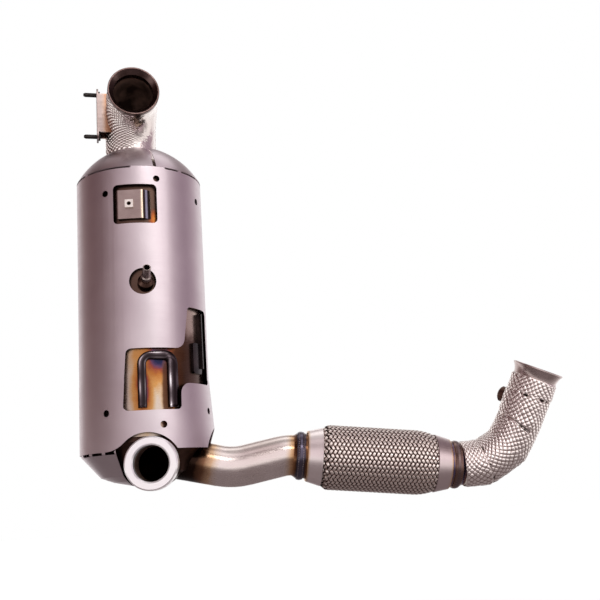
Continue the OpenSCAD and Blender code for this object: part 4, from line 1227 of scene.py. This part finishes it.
    def sleeve(self, material: bpy.types.Material) -> None:
        """Weaves the wire sleeve.

        Args:
            material: The wire's finish.
        """
        cloth = self.length - 2 * self.braid_start
        inset = self.rise_start - self.braid_start
        sizes = {
            "Start": self.braid_start, "Length": cloth, "Lead": self.lead, "Wave": self.weave,
            "Radius": self.braid_r, "End Radius": self.braid_end_r, "Inset": inset,
            "Front Rise": self.braid_rise, "Rear Rise": self.rear_rise, "Width": self.band_w,
            "Thickness": self.band_t,
        }
        values = {key: value * MM for key, value in sizes.items()} | {"Rear Round": self.rear_round}
        rows = round(cloth / (self.lead / self.bands) * self.rows_per_wave)
        piece = make_piece("wire_sleeve", np.zeros((1, 3)), [])
        values |= {"Bands": self.bands, "Rows": rows, "Points": self.band_points, "Material": material}
        run_nodes(piece, self.band_tree(), values)
        self.bend_with_tail(piece, "flex_braid", Slot.BRAID)

    def turned_tube(self, name: str, node: str, wall: np.ndarray, material: bpy.types.Material) -> None:
        """Turns a thin wall round the coupling's axis and puts it in its solid's place.

        Args:
            name: Name of the piece.
            node: The solid that it stands for.
            wall: Radius and distance of each corner of the wall's outside, in millimetres.
            material: The finish.
        """
        profile = np.concatenate([wall, wall[::-1] - np.array([self.sheet, 0.0])])
        theta = np.linspace(0.0, FULL_TURN, self.tube_sides, endpoint=False)[None, :]
        r, z = profile[:, :1] * MM, profile[:, 1:] * MM
        points = np.stack([r * np.cos(theta), r * np.sin(theta), z * np.ones_like(theta)], axis=-1)
        piece = make_piece(name, points.reshape(-1, 3), grid_faces(len(profile), self.tube_sides, True))
        piece.data.materials.append(material)
        self.bend_with_tail(piece, node, Slot.PIPE)

    def inner_pieces(self, material: bpy.types.Material) -> None:
        """Makes the bellows and the liner inside the sleeve.

        Args:
            material: Their finish.
        """
        steps = np.arange(self.folds * self.fold_rows + 1) / self.fold_rows
        u = self.fold_start + (self.length - 2 * self.fold_start) * steps / self.folds
        depth = self.cloth_r(u) - self.braid_wall - self.fold_gap - self.cuff_r
        r = self.cuff_r + depth * (1 - np.cos(FULL_TURN * steps)) / 2
        cuffs = [[self.cuff_r, self.cuff_start]], [[self.cuff_r, self.length - self.cuff_start]]
        folded = np.concatenate([cuffs[0], np.stack([r, u], axis=1), cuffs[1]])
        self.turned_tube("folded_bellows", "flex_bellows", folded, material)
        u = np.linspace(self.liner_start, self.length - self.liner_start, self.liner_rows)
        plain = np.stack([np.full(self.liner_rows, self.liner_r), u], axis=1)
        self.turned_tube("inner_liner", "flex_liner", plain, material)

    def build(self) -> None:
        """Makes the sleeve, the pieces inside it and the front weld, the one that shows."""
        # Woven stainless wire: painted highlights on the crowns over painted shade in the gaps, in four
        # broad wires as real ones are too fine
        wire = Relief(
            "woven_stainless_wire", "#2A1C18", "#8C766D", "#FFF4EC", (0.1, 0.2), 0.8, 0.05, wires=4.0
        )
        self.sleeve(wire.build())
        # Formed stainless sheet: dull and brownish, seen only through gaps
        self.inner_pieces(Metal("formed_stainless_sheet", "#8A7A74", "#6E605C", rough=(0.3, 0.45)).build())
        # Weld metal as it cooled: grey, rough and without a clear glint
        bead = Metal("cooled_weld_metal", "#9E9294", "#766A6E", rough=(0.4, 0.56), patch=5.0)
        axis = tuple(self.along().tolist())
        ripples = WeldRipples(
            "front_weld", self.at(self.weld), axis, self.weld_r, Body.CANISTER, height=self.weld_h
        )
        ripples.build(bead.build())


@dataclass(frozen=True)
class Studio:
    """Camera, lamps, floor and surroundings, in metres.

    Around is the room's colour by the direction from the front in degrees, and upright its shade by height
    from -1 to 1. The fade is where the floor starts and ends its change to white. Each lamp has its place
    from the part's middle, its size and its power.
    """

    camera_place: tuple[float, float, float] = (0.174094, -0.897547, -0.4505)
    right: tuple[float, float, float] = (0.99764, 0.01459, -0.06714)
    up: tuple[float, float, float] = (0.06871, -0.21185, 0.97488)
    lens: float = 51.0
    sensor: float = 36.0
    near_clip: float = 0.01
    room_strength: float = 1.3
    floor_drop: float = 0.26
    floor_half: float = 6.0
    fade: tuple[float, float] = (0.7, 1.7)
    around: tuple[tuple[float, str], ...] = (
        (-180, "#FFFFFF"), (-140, "#F4F0F0"), (-118, "#9C8A88"), (-92, "#765F5F"), (-66, "#765F60"),
        (-44, "#9E8C8E"), (-24, "#CCBEC2"), (-6, "#EAE0E4"), (12, "#F8F2F5"), (32, "#FFFFFF"),
        (50, "#F8F0F4"), (62, "#E0D4DA"), (76, "#BEAEB8"), (92, "#9E8C98"), (104, "#A4929E"),
        (124, "#C4B6BE"), (142, "#F0ECEE"), (180, "#FFFFFF"),
    )
    upright: tuple[tuple[float, str], ...] = (
        (-1.0, "#3A3333"), (-0.7, "#453D3D"), (-0.42, "#8C8484"), (-0.2, "#5E5656"), (-0.06, "#FFFFFF"),
        (0.46, "#FFFFFF"), (0.6, "#A8A0A0"), (0.78, "#9A9292"), (0.87, "#FFFFFF"), (0.94, "#FFFFFF"),
        (0.985, "#6E6666"),
    )
    lamps: tuple[tuple[str, tuple[float, float, float], float, float], ...] = (
        ("key_box", (0.95, -1.2, 0.6), 1.0, 2.6),
        ("front_box", (0.3, -1.3, 1.0), 0.4, 2.6),
        ("top_box", (0.1, 0.1, 1.5), 1.2, 2.0),
    )

    def build(self) -> None:
        """Sets up the whole studio."""
        self._camera()
        self._world()
        self._floor()
        self._lamps()
        bpy.context.scene.view_settings.view_transform = "Standard"

    def _camera(self) -> None:
        """Puts the camera where the photograph was taken from."""
        data = bpy.data.cameras.new("camera")
        data.sensor_width = self.sensor
        data.lens = self.lens
        data.clip_start = self.near_clip
        camera = bpy.data.objects.new("camera", data)
        back = Vector(self.right).cross(Vector(self.up))
        turn = Matrix((self.right, self.up, back)).transposed().to_4x4()
        camera.matrix_world = Matrix.Translation(self.camera_place) @ turn
        bpy.context.scene.collection.objects.link(camera)
        bpy.context.scene.camera = camera

    def _world(self) -> None:
        """Lights the part from all round: a white backdrop behind, a bright front and darker sides."""
        world = bpy.data.worlds.new("studio")
        world.use_nodes = True
        tree = world.node_tree
        tree.nodes.clear()
        place = add(tree, "ShaderNodeTexCoord").outputs["Generated"]
        look = add(tree, "ShaderNodeSeparateXYZ", (place,)).outputs
        front = add(tree, MATH, (look["Y"], -1.0), operation="MULTIPLY")
        angle = add(tree, MATH, (look["X"], front), operation="ARCTAN2")
        turned = add(tree, RANGE, {"Value": angle, "From Min": -math.pi, "From Max": math.pi})
        tone = add(tree, RAMP, {"Fac": turned}, [((a + 180) / 360, linear(c)) for a, c in self.around])
        height = add(tree, RANGE, {"Value": look["Z"], "From Min": -1.0, "From Max": 1.0})
        shade = add(tree, RAMP, {"Fac": height}, [((z + 1) / 2, linear(c)) for z, c in self.upright])
        both = add(tree, MIX, {0: 1.0, 6: tone, 7: shade}, data_type="RGBA", blend_type="MULTIPLY")
        room = add(tree, "ShaderNodeBackground", {"Color": both, "Strength": self.room_strength})
        rays = add(tree, "ShaderNodeLightPath").outputs
        seen = add(tree, MATH, (rays["Is Camera Ray"], rays["Is Transmission Ray"]), operation="MAXIMUM")
        white = add(tree, "ShaderNodeBackground", {"Color": linear("#FFFFFF"), "Strength": 1.0})
        shown = add(tree, "ShaderNodeMixShader", (seen, room, white))
        add(tree, "ShaderNodeOutputWorld", {"Surface": shown})
        bpy.context.scene.world = world

    def _floor(self) -> None:
        """Lays a pale floor well below the part, because the photograph looks up at it."""
        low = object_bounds()[0][2] - self.floor_drop
        half = self.floor_half
        corners = np.array([[-half, -half, low], [half, -half, low], [half, half, low], [-half, half, low]])
        floor = make_piece("floor", corners, [[0, 1, 2, 3]])
        # Matt rolled paper: it fades to the backdrop's white with the distance from the part
        material, tree, place = new_material("rolled_paper")
        rays = add(tree, "ShaderNodeLightPath").outputs
        shiny = rays["Is Glossy Ray"]
        direct = add(tree, MATH, (rays["Is Camera Ray"], shiny), operation="MAXIMUM")
        seen = add(tree, MATH, (direct, rays["Is Transmission Ray"]), operation="MAXIMUM")
        away = add(tree, VECTOR, (place, (0.0, 0.0, low)), operation="DISTANCE")
        fade = add(tree, RANGE, {"Value": away, "From Min": self.fade[0], "From Max": self.fade[1]})
        strength = add(tree, MATH, (fade, seen), operation="MULTIPLY")
        # Painted shade: metal sees the paper darker than the camera does, standing in for the shade that
        # the part keeps off it
        tone = add(tree, MIX, {0: shiny, 6: linear("#E2DFDF"), 7: linear("#A49E9E")}, data_type="RGBA")
        paper = add(tree, "ShaderNodeBsdfDiffuse", {"Color": tone})
        lift = add(tree, "ShaderNodeEmission", {"Color": linear("#FFFFFF"), "Strength": strength})
        add(tree, FINISH, {"Surface": add(tree, "ShaderNodeAddShader", (paper, lift))})
        floor.data.materials.append(material)
        floor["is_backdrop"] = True

    def _lamps(self) -> None:
        """Hangs two soft boxes in front of the part and one above it."""
        low, high = (Vector(corner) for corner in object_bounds())
        for name, away, size, power in self.lamps:
            data = bpy.data.lights.new(name, "AREA")
            data.shape = "SQUARE"
            data.size = size
            data.energy = power
            lamp = bpy.data.objects.new(name, data)
            lamp.location = (low + high) / 2 + Vector(away)
            lamp.rotation_euler = (-Vector(away)).to_track_quat("-Z", "Y").to_euler()
            bpy.context.scene.collection.objects.link(lamp)


@dataclass(frozen=True)
class Canister:
    """The canister, its shield and the brackets on it."""

    sizes: CanisterSizes = CANISTER
    clip_angle: float = 1.5
    clip_r: float = 68.0
    clip_z: float = 267.5
    clip_flank: float = 18.2
    tap_angle: float = 14.0
    tap_z: float = 177.5
    plate_edge: float = -51.0
    plate_root: tuple[float, float, float] = (12.0, -24.0, 396.0)
    flange_face: tuple[float, float, float] = (19.6, -85.0, -14.8)

    def zone(self, angle: float, z: float, *half: float) -> TintZone:
        """Returns a tint zone on the shell: direction from the front, height and half sizes."""
        return TintZone(tuple(self.sizes.round_place(angle, self.sizes.can_r, z).tolist()), half)

    def shell(self) -> Metal:
        """Sets out the heat colours and the painted shade of the shell.

        Returns:
            The shell's finish.
        """
        # Dark brown painted shade round the clip, the tap, the side bracket, above the hanger and beside
        # its right leg, where the shield keeps light off the shell, partly the steel's scorched tone
        shade_and_scorch = Tint(
            (
                self.zone(8.0, 268.0, 60.0, 60.0, 60.0), self.zone(66.0, 88.0, 36.0, 36.0, 44.0),
                self.zone(self.tap_angle, self.tap_z, 40.0, 40.0, 40.0),
                self.zone(50.0, 76.0, 20.0, 20.0, 60.0), self.zone(30.0, 118.0, 40.0, 40.0, 16.0),
                self.zone(32.0, 62.0, 8.0, 8.0, 44.0),
            ),
            ((0.0, "#3E271E", 0.95), (0.7, "#4A3026", 0.9), (1.0, "#6A4A38", 0.0)),
        )
        warm = Tint(
            (self.zone(25.0, 251.0, 8.0, 10.0, 14.0), self.zone(33.0, 28.0, 12.0, 12.0, 12.0)),
            ((0.0, "#C07A38", 0.95), (0.5, "#9A5026", 0.8), (1.0, "#6A3018", 0.0)),
        )
        hanger = Tint(
            (
                self.zone(8.8, 64.0, 16.0, 16.0, 58.0), self.zone(37.3, 76.0, 20.0, 20.0, 58.0),
                self.zone(25.0, 98.0, 40.0, 40.0, 48.0),
            ),
            (
                (0.0, "#1E1E2A", 1.0), (0.17, "#262640", 1.0), (0.24, "#44284A", 0.95),
                (0.31, "#7A2E22", 0.95), (0.42, "#9A5A22", 0.95), (0.65, "#B47E3E", 0.9),
                (0.85, "#BA9C74", 0.5), (1.0, "#C4B4A6", 0.0),
            ),
        )
        tints = hanger, shade_and_scorch, warm
        # Rolled stainless sheet: beige where it stayed cool, with oxide colours round its brackets, and
        # dark brown painted shade inside the shield's windows, partly a scorched tone
        return Metal("rolled_stainless_shell", "#C4B4A6", "#B4A294", rough=(0.24, 0.36), tints=tints)

    def cap(self) -> Metal:
        """Sets out the painted highlights and shade on the clip's cap.

        Returns:
            The cap's finish.
        """
        a = math.radians(self.clip_angle)
        tangent = np.array([math.cos(a), math.sin(a), 0.0])
        centre = self.sizes.round_place(self.clip_angle, self.clip_r, self.clip_z)
        flank = tuple((centre + tangent * self.clip_flank * MM).tolist())
        # Painted light across the flank: a blue-white highlight at its middle, shade beside it, then a pale
        # gold highlight on the roll
        stops = (
            (0.0, "#C2C6D6", 0.95), (0.08, "#A0A4B8", 0.9), (0.14, "#2A201E", 0.95), (0.32, "#3A2A22", 0.9),
            (0.40, "#FFE8CC", 0.9), (0.54, "#F2DCC4", 0.6), (0.66, "#A08E8A", 0.0), (1.0, "#A08E8A", 0.0),
        )
        tint = Tint((TintZone(flank, (10.0,), tuple(tangent.tolist())),), stops, wander=0.02)
        # Pressed steel sheet: grey, with a painted pale gold highlight on its roll, a painted blue-white
        # highlight on its flank and painted shade between them
        return Metal(
            "pressed_steel_cap", "#A6948F", "#968480", rough=(0.25, 0.36), patch=20.0, tints=(tint,)
        )

    def plate(self) -> Metal:
        """Sets out the brown stain and the painted shade of the stud plate.

        Returns:
            The plate's finish.
        """
        side = tuple(INLET_PLANE.axes()[1].tolist())
        inner = tuple(INLET_PLANE.place(*self.plate_root).tolist())
        brown = ((0.0, "#7A4A2E", 0.9), (0.5, "#A8744C", 0.7), (1.0, "#C4A890", 0.0))
        # Painted shade along the folded edge
        fold = ((0.0, "#463A38", 0.9), (0.6, "#54464A", 0.85), (1.0, "#8A7A74", 0.0))
        edge = TintZone((self.plate_edge * MM, 0.0, 0.0), (3.4,), (1.0, 0.0, 0.0))
        tints = Tint((TintZone(inner, (11.0,), side),), brown), Tint((edge,), fold)
        # Pressed steel sheet: pale, browned where it meets the lagging, with painted shade along its folded
        # edge
        return Metal(
            "pressed_steel_plate", "#A4938E", "#92827C", rough=(0.28, 0.4), patch=20.0, tints=tints
        )

    def dress(self, frame: dict) -> None:
        """Gives every solid of the canister its finish.
        """
        # Deep-drawn stainless sheet: satin, with fine marks round it and soft waves
        shield = Metal(
            "drawn_stainless_shield", "#C8BCBF", "#BEB1B5", rough=(0.3, 0.38), marks=(40.0, 40.0, 0.6),
            dents=(34.0, 0.35),
        )
        shields = ("front_shield", "rear_shield", "top_shield_left", "top_shield_right")
        dress(frame, shield, *shields, "bottom_shield_front", "bottom_shield_rear")
        dress(frame, self.shell(), "can_shell", "inlet_cone")
        # Blackened steel: nearly black, with an oily glint on its edges
        dark = Metal(
            "blackened_steel", "#3E3434", "#2A2426", rough=(0.18, 0.32), patch=14.0, marks=(4.0, 4.0, 4.0)
        )
        dress(frame, dark, "side_bracket", "upper_spacer_band", "lower_spacer_band")
        # Blackened pressed bar with painted glints along its shoulders
        glint_steel = Relief("blackened_steel_strap_painted_glints", "#2A2224", "#7C7074", "#F6F0F2", (0.12, 0.24), 3.0, 0.05)
        HangerStrap().build(glint_steel.build())
        # Turned steel that heat has browned: dull, with soft edges
        boss = Metal("browned_turned_steel", "#6A5248", "#4E3A32", rough=(0.26, 0.4), patch=10.0)
        dress(frame, boss, "pressure_boss", "tail_sensor_boss")
        # Drawn stainless bowl, scorched to a patchy dark brown, darker still as painted shade behind the
        # shield
        bowl = Metal("scorched_and_shaded_stainless_bowl", "#5A4238", "#352620", rough=(0.3, 0.46), patch=22.0)
        dress(frame, bowl, "outlet_bowl")
        # Stainless tube under dry soot: dark, and half matt
        soot = Metal(
            "sooted_stainless_tube", "#94786A", "#40302A", rough=(0.3, 0.5), patch=18.0, metallic=0.4
        )
        dress(frame, soot, "inlet_elbow", "branch_pipe")
        dress(frame, self.cap(), "clip_bracket")
        # Drawn stainless tube: bright, a little stained
        tube = Metal("drawn_stainless_tube", "#A89A94", "#7E726E", rough=(0.22, 0.34), patch=12.0)
        dress(frame, tube, "pressure_tube")
        # Zinc plate on steel: the whitest and smoothest metal here
        nut = Metal("zinc_plated_steel", "#F4EEE6", "#DCD4CA", rough=(0.16, 0.28), patch=4.0)
        dress(frame, nut, "clip_nut")
        dress(frame, self.plate(), "stud_bracket")
        # Phosphated rolled steel: charcoal and dull
        stud = Metal(
            "phosphated_steel", "#3E3A38", "#2C2928", rough=(0.35, 0.5), patch=4.0, marks=(0.8, 0.8, 8.0)
        )
        dress(frame, stud, "bracket_studs")
        # Turned steel after long heat: dark brown oxide with a soft shine
        ring = Metal("oxidised_turned_steel", "#6E5A56", "#4C3A36", rough=(0.24, 0.36), patch=16.0)
        dress(frame, ring, "inlet_flange")
        # Freshly turned steel: nearly white, with fine rings
        centre = tuple(self.sizes.place(*self.flange_face).tolist())
        face = Lathed("lathe_turned_steel", "#FFFFFF", "#FFFCFB", centre, (0.0, 1.0, 0.0))
        dress(frame, face, "branch_flange")
        # Extruded porous ceramic: matt and cream
        brick = Metal(
            "extruded_ceramic", "#C9BFA8", "#B8AC92", rough=(0.8, 0.95), metallic=0.0, marks=(1.3, 1.3, 1.3)
        )
        dress(frame, brick, "catalyst_brick", "filter_brick")


@dataclass(frozen=True)
class OutletRun:
    """The bare pipes and rings on both sides of the coupling."""

    coupling: Coupling
    root: float = 20.0

    def across(self, place: float, half: float) -> TintZone:
        """Returns a hot zone round the coupling's axis, at a distance from the front weld's pipe."""
        return TintZone(tuple(self.coupling.at(place)), (half,), tuple(self.coupling.along().tolist()))

    def dress(self, frame: dict) -> None:
        """Gives every solid of the run its finish.
        """
        front = self.coupling.weld
        rear = self.coupling.length - front
        straw = (
            (0.0, "#5A5462", 1.0), (0.22, "#4A444E", 1.0), (0.27, "#4A3226", 1.0), (0.42, "#8A5A30", 0.95),
            (0.62, "#C0935E", 0.8), (1.0, "#D9C2A4", 0.0),
        )
        # Scorch at the pipe's root, nearly black where it is painted shade under the shield
        root_scorch_and_shade = (
            (0.0, "#1A1210", 1.0), (0.33, "#2A1C16", 1.0), (0.55, "#6E4628", 0.95), (0.77, "#C09460", 0.75),
            (1.0, "#D9C2A4", 0.0),
        )
        blued = (
            (0.0, "#6E5E5E", 1.0), (0.24, "#7A5E52", 1.0), (0.32, "#5A5678", 1.0), (0.46, "#6A4A56", 0.95),
            (0.62, "#7E4E30", 0.95), (1.0, "#B08048", 0.7),
        )
        edge = (
            (0.0, "#6A4A34", 1.0), (0.55, "#B8843E", 0.95), (0.66, "#D0AE84", 0.5), (0.78, "#D9C2A4", 0.0),
            (1.0, "#D9C2A4", 0.0),
        )
        root = TintZone(tuple(OUTLET_PATH.point(self.root)), (40.0,), OUTLET_PATH.axis(self.root))
        tints = (
            Tint((self.across(front, 18.0),), straw, wander=0.05), Tint((root,), root_scorch_and_shade, wander=0.06),
        )
        # Bent stainless tube: pale satin, scorched at its root and nearly black there as painted shade
        # under the shield, straw to blue at its weld
        pipe = Metal(
            "bent_stainless_tube", "#E4D8D4", "#D2C4BE", rough=(0.18, 0.3), marks=(20.0, 2.0, 2.0),
            tints=tints,
        )
        dress(frame, pipe, "outlet_pipe")
        # The same tube behind the coupling: blued and browned where it shows
        tint = Tint((self.across(rear, 18.0),), blued, wander=0.08)
        tail = Metal("blued_stainless_tube", "#CFC1BC", "#BBACA8", rough=(0.22, 0.34), tints=(tint,))
        dress(frame, tail, "tail_pipe")
        collars = (
            ("flex_front_collar", front, "#FAF0EE", "#EADEDC"),
            ("flex_rear_collar", rear, "#D2C2C1", "#C2B2B1"),
        )
        for node, place, tone, other in collars:
            # Drawn stainless collar: pale, with marks round it and a straw edge at the weld
            tint = Tint((self.across(place, 13.0),), edge, wander=0.02)
            collar = Metal(
                "drawn_stainless_" + node, tone, other, rough=(0.28, 0.38), marks=(0.8, 30.0, 30.0),
                tints=(tint,),
            )
            dress(frame, collar, node)
        # Spun stainless flange: brownish, with a broad shine
        flange = Metal("spun_stainless_flange", "#C4B4B0", "#A89894", rough=(0.2, 0.32), patch=18.0)
        dress(frame, flange, "tail_flange")


@dataclass(frozen=True)
class Lagging:
    """The embossed foil covers and the fibre under them."""

    gore_start: float = -3.6
    gore_end: float = 26.6
    lap: float = 4.0
    gore_len: float = 44.0
    end_lap: float = 3.0
    blanket_start: float = 1.2
    blanket_r: tuple[float, float] = (23.0, 22.7)
    tack_angles: tuple[float, ...] = (60.0, 110.0, 150.0, 200.0, 236.0, 270.0, 318.0)
    gap_angles: tuple[float, ...] = (90.0, 236.0, 252.0, 296.0)
    flap: tuple[tuple[float, float], ...] = (
        (0.0, 92.0), (200.0, 128.0), (232.0, 126.0), (243.0, 122.0), (252.0, 85.0), (312.0, 90.5),
    )

    def covers(self) -> tuple[FoilCover, ...]:
        """Lays out the foil covers.

        Returns:
            The covers of the neck and the tail.
        """
        first, last = self.gore_end, TAIL_PATH.bend_end() + self.gore_len
        pits = tuple(Pit(first + 0.8, angle, 1.5, 3.4) for angle in self.tack_angles)
        pits += tuple(Pit(last - self.lap - 1.0, angle, 1.5, 5.0) for angle in self.gap_angles)
        neck = (0.0, NECK_PATH.length())
        lower, middle = (self.gore_start, first), (first - self.lap, last)
        upper = (last - self.lap, TAIL_PATH.length() + self.end_lap)
        return (
            FoilCover("neck_foil", NECK_PATH, neck, 28.95, 28.45, Body.CANISTER, smooth=(138.0, 34.0)),
            FoilCover("tail_foil_lower", TAIL_PATH, lower, 24.95, 24.45, Body.TAIL, slant=(190.0, 6.0)),
            FoilCover(
                "tail_foil_middle", TAIL_PATH, middle, 24.3, 23.8, Body.TAIL, pits=pits, flap=self.flap,
                rim=4.6,
            ),
            FoilCover("tail_foil_upper", TAIL_PATH, upper, 25.4, 24.7, Body.TAIL),
        )

    def build(self, frame: dict) -> None:
        """Makes the covers and the fibre.
        """
        feel = (0.1, 0.22), 5.0, 0.3
        # Embossed aluminised foil: bright pillows that glint, with painted shade in the grooves
        foil = Relief("embossed_aluminised_foil", "#1E1614", "#B4A39C", "#FFF6F1", *feel).build()
        # The same foil round the neck, darker, with deeper painted shade in the grooves
        neck = Relief("darker_aluminised_foil", "#0E0A09", "#84746D", "#FFF6F1", *feel).build()
        tree = emboss_tree()
        for cover in self.covers():
            cover.build(tree, neck if cover.path is NECK_PATH else foil)
        # Needled ceramic fibre: matt and off-white
        fibre = Metal(
            "needled_ceramic_fibre", "#EDE8DC", "#D9D2C2", rough=(0.85, 0.95), metallic=0.0,
            marks=(1.0, 1.0, 1.0),
        )
        wool = dress(frame, fibre, "catalyst_mat", "filter_mat", "neck_blanket")
        blanket = FoilCover(
            "tail_blanket", TAIL_PATH, (self.blanket_start, TAIL_PATH.length()), *self.blanket_r, Body.TAIL,
            relief=0.0, crumple=0.0, step=3.0, slot=Slot.FIBRE,
        )
        blanket.build(tree, wool)


def main() -> None:
    """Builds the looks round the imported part."""
    logging.basicConfig(level=logging.INFO, format="%(name)s: %(message)s")
    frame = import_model()
    Studio().build()
    Canister().dress(frame)
    coupling = Coupling()
    OutletRun(coupling).dress(frame)
    coupling.build()
    Lagging().build(frame)


if __name__ == "__main__":
    main()
